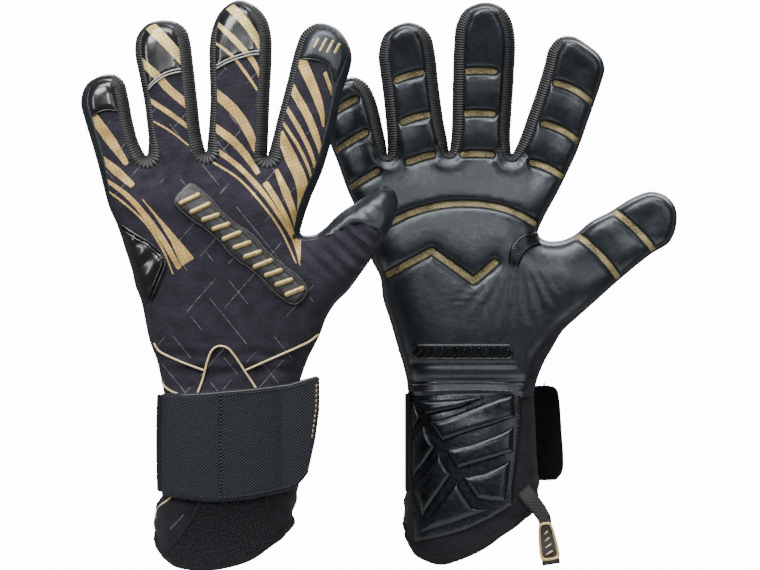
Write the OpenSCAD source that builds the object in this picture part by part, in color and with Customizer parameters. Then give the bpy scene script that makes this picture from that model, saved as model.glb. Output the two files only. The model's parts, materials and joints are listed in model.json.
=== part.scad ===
/* [Pair] */
// Distance between the two wrists, side to side
pair_x = 119; // [110:1:180]
// Distance between the two gloves, front to back
pair_y = 92; // [80:1:140]
// Height of the wrist crease above the hand entry
entry_h = 80; // [76:1:84]

/* [Hand] */
// Half thickness of the padded palm
palm_t = 16; // [14:0.5:19]
// Thickness of the latex foam
foam_t = 3.4; // [3:0.1:4.5]
// Thickness of the fabric walls
wall_t = 2.4; // [2:0.1:3]
// Half thickness of a finger stall
finger_t = 10.4; // [9:0.2:12]
// How fast the fingers curl towards the palm
curl_rate = 0.0012; // [0:0.0002:0.002]

/* [Fingers] */
// Knuckle of the little finger: across, up
little_at = [-51, 103.5]; // [-60:0.5:120]
// Lean, length and width of the little finger
little_form = [-16.5, 52.5, 24]; // [-20:0.5:80]
// Knuckle of the ring finger: across, up
ring_at = [-24.6, 113]; // [-60:0.5:120]
// Lean, length and width of the ring finger
ring_form = [-8, 69.5, 27]; // [-20:0.5:80]
// Knuckle of the middle finger: across, up
middle_at = [3.8, 115]; // [-60:0.5:120]
// Lean, length and width of the middle finger
middle_form = [2, 77, 29]; // [-20:0.5:80]
// Knuckle of the left index finger: across, up
left_index_at = [32, 108]; // [-60:0.5:120]
// Lean, length and width of the left index finger
left_index_form = [14, 74.5, 27]; // [-20:0.5:80]
// Knuckle of the right index finger: across, up
right_index_at = [36.5, 108]; // [-60:0.5:120]
// Lean, length and width of the right index finger
right_index_form = [16.5, 70.5, 27]; // [-20:0.5:80]
// Knuckle to middle joint, along a finger
joint_s = 20.5; // [18:0.5:24]

/* [Thumbs] */
// Left thumb joint: across, up
left_thumb_at = [53, 63.5]; // [40:0.5:80]
// Lean, length and width of the left thumb
left_thumb_form = [36, 42, 26]; // [20:0.5:80]
// Right thumb joint: across, up
right_thumb_at = [64, 66.5]; // [40:0.5:80]
// Lean, length and width of the right thumb
right_thumb_form = [60, 46, 28]; // [20:0.5:80]
// How far each thumb leans towards the palm: left, right
thumb_slope = [0.45, 0.1]; // [0:0.05:0.6]
// Thumb joint to thumb tip joint
thumb_joint_s = 17; // [14:0.5:20]

/* [Cuff] */
// Half width of the wrist sleeve
sleeve_w = 33.5; // [30:0.5:38]
// Half depth of the wrist sleeve
sleeve_d = 22.5; // [20:0.5:26]
// Thickness of the elastic strap
strap_t = 2.2; // [1.8:0.1:3]
// Height of the strap
strap_h = 50; // [40:1:55]
// Thickness of the moulded wrist guard
guard_t = 3.6; // [2.5:0.1:5]

/* [Hidden] */
FINGERS = ["little", "ring", "middle", "index"];
SIDES = ["left", "right"];
HAND_PARTS = ["backhand_body", "palm_foam", "palm_inserts", "knuckle_badge"];
CUFF_PARTS = ["wrist_sleeve", "wrist_guard", "loop_patch", "strap_band", "strap_tab",
              "pull_loop", "pull_tag"];
FINGER_PARTS = ["stall_lower", "stall_upper", "foam_lower", "foam_upper"];

SIDES_N = 16;        // sides of a finger's section
PALM_N = 28;         // sides of the palm's section
BOX = 2.5;           // squareness of the palm and sleeve sections
gap = 0.35;          // from a hinge plane to the parts on each side of it
slot = 2.4;          // from a hinge plane to the foam on each side of it
skin_gap = 0.15;     // between a panel and the fabric that it lies on
curl_z = 100;        // height at which the curl begins
wrist_bevel = 7.5;   // slope of the faces that meet at the wrist, degrees
foam_arc = 52;       // where a finger's foam begins, degrees from its side
foam_edge = 6.5;     // depth at which the palm's foam begins
stall_in = 0.7;      // how far a stall stays inside its finger's full width
thumb_root = -6;     // below this the thumb no longer leans towards the palm
wrist_hole = [30, 12.3]; // half width and half depth of the way through the wrist
slot_w = 4;          // width of a flex slot across the palm
insert_w = 3.4;      // width of the mesh in it
insert_t = 1.4;      // and how far the mesh stands off the fabric
bow_c = [-3, 10];    // centre and radius of the bowed slot
bow_r = 80.5;
zigzag_line = [[-50, 51.5], [-18.5, 67], [2.5, 52], [13.5, 62]];
badge_at = [5, 69];  // the badge's middle, lean, half length, radius and thickness
badge_lean = 40;
badge_half = 32;
badge_r = 6.5;
badge_t = 2.2;
patch_t = 1.3;       // thickness of the loop patch
big = 300;
deep = 60;           // further than any part of a cuff reaches in depth

black = "#1b1c20";
latex = "#2b3136";
knit = "#26252b";
gold = "#d8c07a";

function is_left(side) = side == "left";
function finger_at(side, f) =
    f == "little" ? little_at : f == "ring" ? ring_at : f == "middle" ? middle_at
    : f == "index" ? (is_left(side) ? left_index_at : right_index_at)
    : (is_left(side) ? left_thumb_at : right_thumb_at);
function finger_form(side, f) =
    f == "little" ? little_form : f == "ring" ? ring_form : f == "middle" ? middle_form
    : f == "index" ? (is_left(side) ? left_index_form : right_index_form)
    : (is_left(side) ? left_thumb_form : right_thumb_form);
function middle_joint(f) = f == "thumb" ? thumb_joint_s : joint_s;
function slope_of(side, f) = f == "thumb" ? thumb_slope[is_left(side) ? 0 : 1] : 0;
function curl(z) = z > curl_z ? curl_rate * pow(z - curl_z, 2) : 0;

// a station is [across, up, depth, lean, half width, back half depth, palm half depth]
function on_axis(side, f, s, w, t) =
    let (b = finger_at(side, f), lean = finger_form(side, f)[0], z = b[1] + s * cos(lean))
    [b[0] + s * sin(lean), z, (f == "thumb" ? slope_of(side, f) * max(s, thumb_root) : curl(z)), lean, w, t, t];

function section(st, n, e) = [for (i = [0:n - 1])
    let (c = cos(360 * i / n), s = sin(360 * i / n),
         u = st[4] * sign(c) * pow(abs(c), 2 / e),
         v = (s > 0 ? st[6] : st[5]) * sign(s) * pow(abs(s), 2 / e))
    [st[0] + u * cos(st[3]), st[2] + v, st[1] - u * sin(st[3])]];

// the sides of a solid skinned over m sections, each with n corners
function skin_sides(m, n) = [for (j = [0:m - 2]) for (i = [0:n - 1]) each
    let (a = j * n + i, b = j * n + (i + 1) % n)
    [[a, a + n, b], [b, a + n, b + n]]];

// a solid skinned over a row of convex sections
module skin(rings) {
    n = len(rings[0]);
    m = len(rings);
    polyhedron(points = [for (r = rings) each r],
               faces = concat(skin_sides(m, n), [[for (i = [0:n - 1]) i]],
                              [[for (i = [n - 1:-1:0]) (m - 1) * n + i]]));
}

// a solid skinned over curved bands: each section runs out along one edge and back along the other
module skin_bands(rings) {
    n = len(rings[0]);
    m = len(rings);
    last = (m - 1) * n;
    ends = [for (i = [0:n / 2 - 2]) each
        let (a = i, b = i + 1, c = n - 2 - i, d = n - 1 - i)
        [[a, b, c], [a, c, d], [last + a, last + c, last + b], [last + a, last + d, last + c]]];
    polyhedron(points = [for (r = rings) each r], faces = concat(skin_sides(m, n), ends));
}

module loft(stations, n = SIDES_N, e = 2) {
    skin([for (st = stations) section(st, n, e)]);
}

// stations of a finger from s0 to its rounded tip, or to s1
function to_tip(side, f, s0, w, t, length) = concat(
    [on_axis(side, f, s0, w, t)],
    [for (a = [0, 35, 60, 78])
        on_axis(side, f, length - w + w * sin(a), w * cos(a), t * (0.25 + 0.75 * cos(a)))]);

function stall_w(side, f) = finger_form(side, f)[2] / 2 - stall_in;

module stall_upper(side, f) {
    w = stall_w(side, f);
    length = finger_form(side, f)[1];
    s0 = middle_joint(f) + gap;
    color(knit) difference() {
        loft(to_tip(side, f, s0, w, finger_t, length - 1));
        loft(to_tip(side, f, s0 - 1, w - wall_t, finger_t - wall_t, length - 1 - wall_t));
    }
}

module stall_lower(side, f) {
    w = stall_w(side, f);
    s1 = middle_joint(f) - gap;
    color(knit) difference() {
        loft([for (s = [gap, s1]) on_axis(side, f, s, w, finger_t)]);
        loft([for (s = [-1, s1 + 1]) on_axis(side, f, s, w - wall_t, finger_t - wall_t)]);
    }
}

// the part of a finger's section that carries foam, as a closed outline
function foam_section(st, n) = concat(
    [for (i = [0:n]) foam_point(st, foam_arc + (180 - 2 * foam_arc) * i / n, skin_gap)],
    [for (i = [n:-1:0]) foam_point(st, foam_arc + (180 - 2 * foam_arc) * i / n, foam_t)]);
function foam_point(st, a, out) =
    let (u = (st[4] + out) * cos(a))
    [st[0] + u * cos(st[3]), st[2] + (st[6] + out) * sin(a), st[1] - u * sin(st[3])];

module foam_pad(stations) {
    color(latex) skin_bands([for (st = stations) foam_section(st, 6)]);
}

module foam_lower(side, f) {
    w = stall_w(side, f);
    foam_pad([for (s = [slot, middle_joint(f) - slot]) on_axis(side, f, s, w, finger_t)]);
}

module foam_upper(side, f) {
    w = stall_w(side, f);
    length = finger_form(side, f)[1] - 1;
    foam_pad(concat([on_axis(side, f, middle_joint(f) + slot, w, finger_t)],
        [for (a = [0, 35, 60])
            on_axis(side, f, length - w + w * sin(a), w * cos(a),
                    finger_t * (0.25 + 0.75 * cos(a)))]));
}

// the palm, from the wrist to the knuckles: [up, left edge, right edge, half depth]
function palm_rows(side) = [
    [0, -32.5, 33, 0.88], [14, -36, 38, 0.95], [30, -40.5, 44, 1], [46, -45.5, 43, 1],
    [63, -51, 37, 1], [80, -56, 35.5, 0.95], [92, -59.5, 40, 0.84], [99, -58.5, 42, 0.74]];

module palm_loft(side, grow) {
    loft([for (r = palm_rows(side))
        [(r[1] + r[2]) / 2, r[0] + (r[0] > 95 ? min(grow, 0) : 0), 0, 0,
         (r[2] - r[1]) / 2 + grow, palm_t * r[3] + grow, palm_t * r[3] + grow]], PALM_N, BOX);
}

// short stubs that lead from the palm to each finger's hinge plane
module stubs(side, grow, back_off) {
    for (f = FINGERS) {
        loft([for (s = [-24, -8, -back_off]) on_axis(side, f, s,
            stall_w(side, f) + grow - (s < -20 ? 3 : 0), finger_t + grow + (s < -7 ? 1 : 0))]);
    }
    loft([for (s = [-34, -16, -back_off]) on_axis(side, "thumb", s,
        stall_w(side, "thumb") + grow + (s < -15 ? 2 : 0), finger_t + grow + (s < -15 ? 2 : 0))]);
}

module hand_solid(side, grow, back_off) {
    palm_loft(side, grow);
    stubs(side, grow, back_off);
}

// keeps what is above the wrist's bevelled hinge plane
module above_wrist(lift) {
    intersection() {
        union() children();
        rotate([90, 0, 90]) translate([0, 0, -big / 2]) linear_extrude(big)
            polygon([[-60, lift + 60 * tan(wrist_bevel)], [0, lift],
                     [60, lift + 60 * tan(wrist_bevel)], [60, 200], [-60, 200]]);
    }
}

module backhand_body(side) {
    color(knit) above_wrist(gap) difference() {
        union() hand_solid(side, 0, gap);
        union() hand_solid(side, -wall_t, -1);
        translate([0, 0, -10]) wrist_tunnel(20);
    }
}

module wrist_tunnel(h) {
    loft([for (z = [0, h]) [0, z, 0, 0, wrist_hole[0], wrist_hole[1], wrist_hole[1]]], PALM_N, BOX);
}

// extrudes an outline drawn across and up, along the depth
module through(depth0, depth1) {
    translate([0, depth1, 0]) rotate([90, 0, 0]) linear_extrude(depth1 - depth0) children();
}

function arc_points(c, r, a0, a1, n) = [for (i = [0:n])
    let (a = a0 + (a1 - a0) * i / n) [c[0] + r * cos(a), c[1] + r * sin(a)]];

// the bowed flex slot across the palm
module bowed_slot(w) {
    polygon(concat(arc_points(bow_c, bow_r + w / 2, 116, 64, 10),
                   arc_points(bow_c, bow_r - w / 2, 64, 116, 10)));
}

// the zigzag flex slot below it
module zigzag_slot(w) {
    line = zigzag_line;
    polygon(concat([for (q = line) [q[0], q[1] + w / 2]],
                   [for (i = [len(line) - 1:-1:0]) [line[i][0], line[i][1] - w / 2]]));
}

module palm_slots(w) {
    bowed_slot(w);
    zigzag_slot(w * 1.2);
}

module palm_front(side, grow, under) {
    difference() {
        intersection() {
            union() hand_solid(side, grow, slot);
            translate([-big / 2, foam_edge, 4]) cube([big, big / 2, big]);
        }
        union() hand_solid(side, under, 0);
    }
}

module palm_foam(side) {
    color(latex) difference() {
        palm_front(side, foam_t, skin_gap);
        through(0, deep) palm_slots(slot_w);
    }
}

module palm_inserts(side) {
    color(gold) intersection() {
        palm_front(side, insert_t, skin_gap);
        through(0, deep) palm_slots(insert_w);
    }
}

module knuckle_badge(side) {
    color(black) difference() {
        translate([badge_at[0], -palm_t / 2, badge_at[1]]) rotate([90, badge_lean, 0])
            linear_extrude(palm_t / 2 + badge_t) hull() {
                for (x = [-badge_half, badge_half]) translate([x, 0]) circle(r = badge_r, $fn = 32);
            }
        palm_loft(side, skin_gap);
        stubs(side, skin_gap, 0);
    }
}

// ---------- cuff ----------
function sleeve_rows() = [[-95, -2, 1.05, 0.98], [-66, -1, 1.02, 1], [-40, -0.5, 0.99, 1],
                          [-14, -0.5, 1, 0.97], [2, 0, 1, 0.88]];

module sleeve_solid(grow) {
    loft([for (r = sleeve_rows())
        [r[1], r[0], 0, 0, sleeve_w * r[2] + grow, sleeve_d * r[3] + grow,
         sleeve_d * r[3] + grow]], PALM_N, BOX);
}

// the sleeve's slanting hem, as the line below which nothing is left
hem = [[-60, -70], [-36, -77], [-31, -86], [-20, -91], [-8, -90.5], [6, -86.5], [20, -78],
       [32, -66.5], [60, -48]];

module above_hem(lift) {
    through(-deep, deep) polygon(concat([for (h = hem) [h[0], h[1] + lift]], [[60, 60], [-60, 60]]));
}

module below_wrist(drop) {
    rotate([90, 0, 90]) translate([0, 0, -big / 2]) linear_extrude(big)
        polygon([[-60, -drop - 60 * tan(wrist_bevel)], [0, -drop],
                 [60, -drop - 60 * tan(wrist_bevel)], [60, -200], [-60, -200]]);
}

module wrist_sleeve() {
    color(knit) intersection() {
        difference() {
            sleeve_solid(0);
            loft([for (r = [[-100, 1], [5, 0.88]])
                [-1, r[0], 0, 0, sleeve_w - wall_t, (sleeve_d - wall_t) * r[1],
                 (sleeve_d - wall_t) * r[1]]], PALM_N, BOX);
        }
        above_hem(0);
        below_wrist(gap);
    }
}

guard_outline = [[-28, -7.5], [-30, -50], [-26, -78], [0, -73], [20, -61], [25, -22], [24, -5]];
patch_outline = [[-18, -50], [20, -50], [27, -68], [19, -75], [0, -83], [-18, -87], [-30, -82]];

module sleeve_panel(outline, thick, d0, d1) {
    intersection() {
        difference() {
            sleeve_solid(thick);
            sleeve_solid(skin_gap);
        }
        through(d0, d1) polygon(outline);
        above_hem(1);
    }
}

module wrist_guard() {
    color(latex) sleeve_panel(guard_outline, guard_t, 0, deep);
}

module loop_patch() {
    color(black) sleeve_panel(patch_outline, patch_t, -deep, 0);
}

strap_off = 2.2;      // from the sleeve to the strap
strap_top = -3;       // height of its top edge
seam_x = -6;          // where the tab is stitched to the band
tab_end = 45;         // the tab's free end, across
tab_depth = -17;      // and in depth
tab_turn = 24;        // where the tab leaves the sleeve's curve

// the strap's inner line, from the little finger's side over the back
function strap_line(out) = [for (a = [184:8:352]) let (c = cos(a), s = sin(a))
    [(sleeve_w + strap_off + out) * sign(c) * pow(abs(c), 2 / BOX),
     (sleeve_d + strap_off + out) * sign(s) * pow(abs(s), 2 / BOX)]];
function strap_part(out, x0, x1) = [for (q = strap_line(out)) if (q[0] > x0 && q[0] < x1) q];
function back_y(x, out) = -(sleeve_d + strap_off + out)
    * pow(1 - pow(abs(x) / (sleeve_w + strap_off + out), BOX), 1 / BOX);

module strap_slice(points_in, points_out, top0, top1, low) {
    intersection() {
        translate([0, 0, -80]) linear_extrude(100)
            polygon(concat(points_in, [for (i = [len(points_out) - 1:-1:0]) points_out[i]]));
        through(-deep, deep) polygon([[-60, top0], [60, top1], [60, low + 12], [35, low + 6],
                                  [10, low - 1], [-60, low + 3]]);
    }
}

module strap_band() {
    x1 = seam_x - gap;
    color(black) strap_slice(
        concat(strap_part(0, -60, x1), [[x1, back_y(x1, 0)]]),
        concat(strap_part(strap_t, -60, x1), [[x1, back_y(x1, strap_t)]]),
        strap_top - 1.5, strap_top + 2.5, strap_top - strap_h);
}

module strap_tab() {
    x0 = seam_x + gap;
    color(black) strap_slice(
        concat([[x0, back_y(x0, 0)]], strap_part(0, x0, tab_turn),
               [[tab_turn + 2, back_y(tab_turn + 2, 0)], [tab_end, tab_depth]]),
        concat([[x0, back_y(x0, strap_t)]], strap_part(strap_t, x0, tab_turn),
               [[tab_turn + 2, back_y(tab_turn + 2, strap_t)], [tab_end, tab_depth - strap_t]]),
        strap_top - 1.5, strap_top + 2.5, strap_top - strap_h);
}

// the pull loop hangs beside the right cuff and behind the left one
pull_at = [[22, -45], [31.5, -56]];
pull_depth = [28.5, 18.5];
pull_lean = [-35, 20];
loop_size = [8, 1.6, 17];
tag_outline = [[-3.5, -17.3], [3.5, -17.3], [5.8, -33.5], [4.5, -35.6], [-4.5, -35.6], [-5.8, -33.5]];

module on_pull(side) {
    i = is_left(side) ? 0 : 1;
    translate([pull_at[i][0], pull_depth[i], pull_at[i][1]])
        rotate([0, -pull_lean[i], 0]) children();
}

module pull_loop(side) {
    color(black) on_pull(side) translate([-loop_size[0] / 2, 0, -loop_size[2]]) cube(loop_size);
}

module pull_tag(side) {
    color(gold) on_pull(side) through(-1, 2.6) polygon(tag_outline);
}

// puts a part drawn for the left glove into the pair; the right one shows its palm
module placed(side) {
    if (is_left(side)) translate([0, 0, entry_h]) children();
    else translate([pair_x, pair_y, entry_h]) mirror([0, 1, 0]) children();
}

for (side = SIDES) {
    placed(side) backhand_body(side);
    placed(side) palm_foam(side);
    placed(side) palm_inserts(side);
    placed(side) knuckle_badge(side);
    placed(side) wrist_sleeve();
    placed(side) wrist_guard();
    placed(side) loop_patch();
    placed(side) strap_band();
    placed(side) strap_tab();
    placed(side) pull_loop(side);
    placed(side) pull_tag(side);
    for (f = concat(FINGERS, ["thumb"])) {
        stem = str(side, "_", f);
        placed(side) stall_lower(side, f);
        placed(side) stall_upper(side, f);
        placed(side) foam_upper(side, f);
    }
    for (f = FINGERS) {
        stem = str(side, "_", f);
        placed(side) foam_lower(side, f);
    }
}
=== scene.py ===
"""A pair of goalkeeper gloves: the left one shows its printed back, the right one its latex palm."""
import json
import math

import bpy
import numpy as np
from mathutils import Matrix, Vector, noise
from mathutils.geometry import delaunay_2d_cdt


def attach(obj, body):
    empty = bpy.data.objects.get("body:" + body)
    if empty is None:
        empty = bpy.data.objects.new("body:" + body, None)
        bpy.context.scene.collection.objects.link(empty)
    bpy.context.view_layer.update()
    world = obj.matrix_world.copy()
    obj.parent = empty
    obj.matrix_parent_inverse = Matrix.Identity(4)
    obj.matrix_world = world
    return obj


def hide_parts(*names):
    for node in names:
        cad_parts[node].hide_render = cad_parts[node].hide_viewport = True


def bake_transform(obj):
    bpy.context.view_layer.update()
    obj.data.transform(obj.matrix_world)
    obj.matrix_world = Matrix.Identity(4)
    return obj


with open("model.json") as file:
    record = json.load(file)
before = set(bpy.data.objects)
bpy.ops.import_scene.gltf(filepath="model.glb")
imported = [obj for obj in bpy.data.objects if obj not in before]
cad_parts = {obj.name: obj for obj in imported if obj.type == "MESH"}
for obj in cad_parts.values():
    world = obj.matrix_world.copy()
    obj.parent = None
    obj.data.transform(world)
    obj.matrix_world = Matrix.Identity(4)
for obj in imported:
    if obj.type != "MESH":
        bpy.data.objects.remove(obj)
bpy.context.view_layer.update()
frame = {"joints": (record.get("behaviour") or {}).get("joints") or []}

MM = 0.001
JOINTS = {joint["name"]: joint for joint in frame["joints"]}
SIDES = ("left", "right")
FINGERS = ("little", "ring", "middle", "index")

# ---------------------------------------------------------------- sizes, in millimetres
FOAM = 3.4            # thickness of the latex foam
STALL = 10.4          # half thickness of a finger under its foam
PALM = 15.5           # half thickness of the palm
CURL_FROM = 100.0     # height above which the fingers curl
CURL = 0.0012         # how much they curl
SLOT_W = 2.7          # width of a flex slot
RIB = 1.25            # pitch of the gusset's ribs
STRAP_T = 2.0         # thickness of the strap
SQUARE = 2.5          # how square the cuff is, seen from above
FAR = 99.0            # further than anything on a glove

# knuckle (across, up), lean, width and length of each finger, and where its bend begins
SHARED = {"little": (-51, 103.5, -16.5, 24, 52.5, 9.5), "ring": (-24.6, 113, -8, 27, 69.5, 4),
          "middle": (3.8, 115, 2, 29, 77, 4)}
FORM = {"left": {**SHARED, "index": (32, 108, 14, 27, 74.5, 4), "thumb": (53, 63.5, 36, 26, 42, -1)},
        "right": {**SHARED, "index": (36.5, 108, 16.5, 27, 70.5, 4), "thumb": (64, 66.5, 60, 28, 46, -3)}}
THUMB_SLOPE = {"left": 0.45, "right": 0.1}
BEND_END = {"finger": 17.0, "thumb": 14.0}
TIP_END = {"finger": 27.5, "thumb": 24.0}

# each glove's outline, from the little finger's side of the wrist round to the thumb's side
OUTLINE = {
    "left": [
        ("heel", [(-31, -14), (-33.5, -4), (-35, 3), (-37, 12), (-41, 23), (-45, 42), (-48, 50), (-49.5, 57),
                  (-53, 68), (-57, 80), (-61, 89)]),
        ("little_side", [(-64, 100), (-66.5, 110), (-70, 122), (-73, 132), (-75, 141)]),
        ("little_tip", [(-72.5, 149.5), (-66, 154)]),
        ("gusset_a", [(-59, 155), (-53.8, 151.5), (-51.5, 144), (-49, 131), (-46, 120.5),
                      (-42.3, 114.5), (-41.2, 121),
                      (-42, 130), (-43.5, 142), (-46, 155), (-48, 166)]),
        ("ring_tip", [(-47, 174), (-42, 180), (-35, 182)]),
        ("gusset_b", [(-27.5, 181), (-22.5, 177), (-20.5, 171), (-19.3, 162), (-17, 142), (-14.8, 124),
                      (-12.6, 116.5),
                      (-11.6, 124), (-10.5, 142), (-11, 160), (-11, 168)]),
        ("middle_tip", [(-9.5, 178), (-5, 187), (3, 192)]),
        ("gusset_c", [(11, 189.5), (17, 183.5), (19.7, 175), (20, 162), (19, 142), (18.3, 122),
                      (18, 114.5), (20, 121),
                      (23, 133), (28, 152), (32, 168), (35.5, 176)]),
        ("index_tip", [(43, 180.5), (51.5, 178.5), (57.5, 172)]),
        ("index_side", [(60, 164), (59, 157), (55.5, 147), (51.5, 128), (48.5, 117), (45, 106),
                        (39.5, 93), (35.5, 81)]),
        ("thumb_side", [(34.7, 75.5), (41, 75), (46.5, 78.5), (52, 84), (57, 88), (62, 91),
                        (69, 96)]),
        ("thumb_tip", [(75, 99.5), (81, 97), (83, 90), (81, 83)]),
        ("thumb_low", [(78.5, 77), (73, 68), (69, 62), (64, 55), (58, 47), (52, 41), (47.5, 34)]),
        ("heel", [(44, 25), (39, 15), (36.5, 9), (34.5, 3), (32.5, -4), (30, -14)]),
    ],
    "right": [
        ("heel", [(-29, -14), (-31, -3), (-31.8, 3), (-33.5, 10), (-36.5, 20), (-40, 32), (-43.5, 43),
                  (-45, 54), (-49, 62), (-53, 74), (-58, 90)]),
        ("little_side", [(-61.5, 98), (-66.5, 112), (-70, 121), (-72.5, 132), (-73.5, 141)]),
        ("little_tip", [(-71, 148.5), (-65, 153)]),
        ("gusset_a", [(-58, 154.5), (-52, 151.5), (-48, 145), (-45.5, 137), (-43.5, 128), (-42, 121),
                      (-41.3, 116),
                      (-41.3, 122), (-42, 132), (-43.5, 147), (-45, 158), (-45.7, 166)]),
        ("ring_tip", [(-43, 175.5), (-37.5, 180), (-31, 182)]),
        ("gusset_b", [(-24, 180), (-19.5, 175), (-17.5, 167), (-15.5, 150), (-13, 132), (-11.2, 123),
                      (-10.3, 117.5),
                      (-9.2, 124), (-8.7, 137), (-8.4, 152), (-7.8, 170),
                      (-6.5, 181)]),
        ("middle_tip", [(-2, 188.5), (7, 192)]),
        ("gusset_c", [(15.5, 190), (20.5, 184), (22.8, 174), (22.3, 155), (21, 135), (20.5, 124),
                      (21.3, 116), (25, 123),
                      (29, 134), (33.5, 147), (37.5, 160),
                      (40, 169)]),
        ("index_tip", [(45.5, 174.5), (52, 175), (59, 171), (65.5, 165.5), (68, 159)]),
        ("index_side", [(66.5, 152.5), (63, 142), (59.5, 132), (54.5, 118), (49, 106), (43, 94),
                        (37, 83)]),
        ("thumb_side", [(34.5, 75.5), (38.5, 72.5), (46, 72.5), (53, 75.5), (61, 82), (70.5, 87),
                        (82, 94)]),
        ("thumb_tip", [(91, 97), (98.5, 95), (103.5, 89), (104, 80), (100.5, 71.5)]),
        ("thumb_low", [(92, 66), (83, 59), (73, 50.5), (62.5, 41), (54, 33.5), (47, 27)]),
        ("heel", [(41.5, 18), (37.5, 11), (34.8, 4.5), (32.5, -3), (29, -14)]),
    ],
}
CROTCH = {"left": [(-42.3, 114.5), (-12.6, 116.5), (18, 114.5)],
          "right": [(-41.3, 116), (-10.3, 117.5), (21.3, 116)]}
# how far the rim reaches in from the outline: towards the palm, towards the back
RIM = {"heel": (1.2, 1.2), "little_side": (1.2, 4), "little_tip": (1.4, 1.4),
       "gusset_in": (5.4, 6.0), "gusset_out": (5.2, 2.9), "ring_tip": (1.4, 1.4),
       "middle_tip": (1.4, 1.4), "index_tip": (1.4, 1.4), "index_side": (1.2, 4.2),
       "thumb_side": (1.2, 1.5), "thumb_tip": (1.2, 1.2), "thumb_low": (1.2, 1.2)}


# ---------------------------------------------------------------- plain geometry
def smooth(a, b, t):
    t = np.clip((np.asarray(t, float) - a) / (b - a), 0, 1)
    return t * t * (3 - 2 * t)


def spline(points, step, closed=False):
    """points on a centripetal Catmull-Rom curve, about step apart, and each point's source index"""
    p = np.array(points, float)
    n = len(p)
    out, source = [], []
    for i in range(n if closed else n - 1):
        if closed:
            a, b, c, d = p[(i - 1) % n], p[i], p[(i + 1) % n], p[(i + 2) % n]
        else:
            b, c = p[i], p[i + 1]
            a = p[i - 1] if i else 2 * b - c
            d = p[i + 2] if i + 2 < n else 2 * c - b
        knots = np.cumsum([0] + [max(np.linalg.norm(v - u), 1e-6) ** 0.5
                                 for u, v in ((a, b), (b, c), (c, d))])
        count = max(1, int(round(np.linalg.norm(c - b) / step)))
        for t in knots[1] + (knots[2] - knots[1]) * np.arange(count) / count:
            ab = ((knots[1] - t) * a + t * b) / knots[1]
            bc = ((knots[2] - t) * b + (t - knots[1]) * c) / (knots[2] - knots[1])
            cd = ((knots[3] - t) * c + (t - knots[2]) * d) / (knots[3] - knots[2])
            abc = ((knots[2] - t) * ab + t * bc) / knots[2]
            bcd = ((knots[3] - t) * bc + (t - knots[1]) * cd) / (knots[3] - knots[1])
            out.append(((knots[2] - t) * abc + (t - knots[1]) * bcd) / (knots[2] - knots[1]))
            source.append(i)
    if not closed:
        out.append(p[-1])
        source.append(n - 1)
    return np.array(out), np.array(source)


def unit(rows):
    return rows / np.maximum(np.linalg.norm(rows, axis=1)[:, None], 1e-9)


def normals(line):
    """the normal on the left of each point of an open line, and its direction"""
    way = unit(np.gradient(line, axis=0))
    return np.stack([-way[:, 1], way[:, 0]], axis=1), way


def outward(loop):
    """the normal that points out of a closed line at each of its points"""
    way = np.roll(loop, -1, axis=0) - np.roll(loop, 1, axis=0)
    return unit(np.stack([way[:, 1], -way[:, 0]], axis=1))


def run_of(line):
    """how far along a line each of its points lies"""
    return np.concatenate([[0], np.cumsum(np.linalg.norm(np.diff(line, axis=0), axis=1))])


def rounded(d, r):
    """0 to 1 as a quarter circle of radius r, by the distance d from an edge"""
    return np.sqrt(np.clip(1 - (1 - np.clip(d / r, 0, 1)) ** 2, 0, 1))


def resample(points, step, closed=True):
    p = np.array(points, float)
    q = np.vstack([p, p[:1]]) if closed else p
    run = run_of(q)
    count = max(3 if closed else 1, int(round(run[-1] / step)))
    at = np.linspace(0, run[-1], count + 1)
    at = at[:-1] if closed else at
    return np.stack([np.interp(at, run, q[:, k]) for k in range(q.shape[1])], axis=1)


def distance(points, line, closed=False):
    """from each point to a polyline"""
    p = np.atleast_2d(np.asarray(points, float))
    a = np.asarray(line, float)
    b = np.roll(a, -1, axis=0)
    if not closed:
        a, b = a[:-1], b[:-1]
    ab = b - a
    size = np.maximum((ab ** 2).sum(axis=1), 1e-12)
    best = np.full(len(p), np.inf)
    for lo in range(0, len(p), 4000):
        ap = p[lo:lo + 4000, None, :] - a[None]
        t = np.clip((ap * ab[None]).sum(axis=2) / size, 0, 1)
        gap = ((ap - t[..., None] * ab[None]) ** 2).sum(axis=2)
        best[lo:lo + 4000] = np.sqrt(gap.min(axis=1))
    return best


def inside(points, loop):
    p = np.atleast_2d(np.asarray(points, float))
    a = np.asarray(loop, float)
    b = np.roll(a, -1, axis=0)
    hit = np.zeros(len(p), bool)
    for (ax, az), (bx, bz) in zip(a, b):
        if az == bz:
            continue
        cross = (az > p[:, 1]) != (bz > p[:, 1])
        at = ax + (p[:, 1] - az) / (bz - az) * (bx - ax)
        hit ^= cross & (p[:, 0] < at)
    return hit


def nearest(points, loops):
    return np.minimum.reduce([distance(points, loop, closed=True) for loop in loops])


def in_any(points, loops):
    return np.logical_or.reduce([inside(points, loop) for loop in loops])


def ribbon(points, widths, step=1.0):
    """a closed outline round a curved stroke whose width varies"""
    line, _ = spline(points, step)
    side, _ = normals(line)
    place = np.linspace(0, 1, len(line))
    half = np.interp(place, np.linspace(0, 1, len(widths)), widths)[:, None] / 2
    return np.vstack([line + side * half, (line - side * half)[::-1]])


def capsule(points, width, step=0.8):
    """a closed outline round a stroke with round ends"""
    line, _ = spline(points, step)
    side, way = normals(line)
    r = width / 2
    arc = np.linspace(0, math.pi, 6)[1:-1]
    head = [line[-1] + r * (side[-1] * math.cos(a) + way[-1] * math.sin(a)) for a in arc]
    tail = [line[0] + r * (-side[0] * math.cos(a) - way[0] * math.sin(a)) for a in arc]
    return np.vstack([line + side * r, head, (line - side * r)[::-1], tail])


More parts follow.
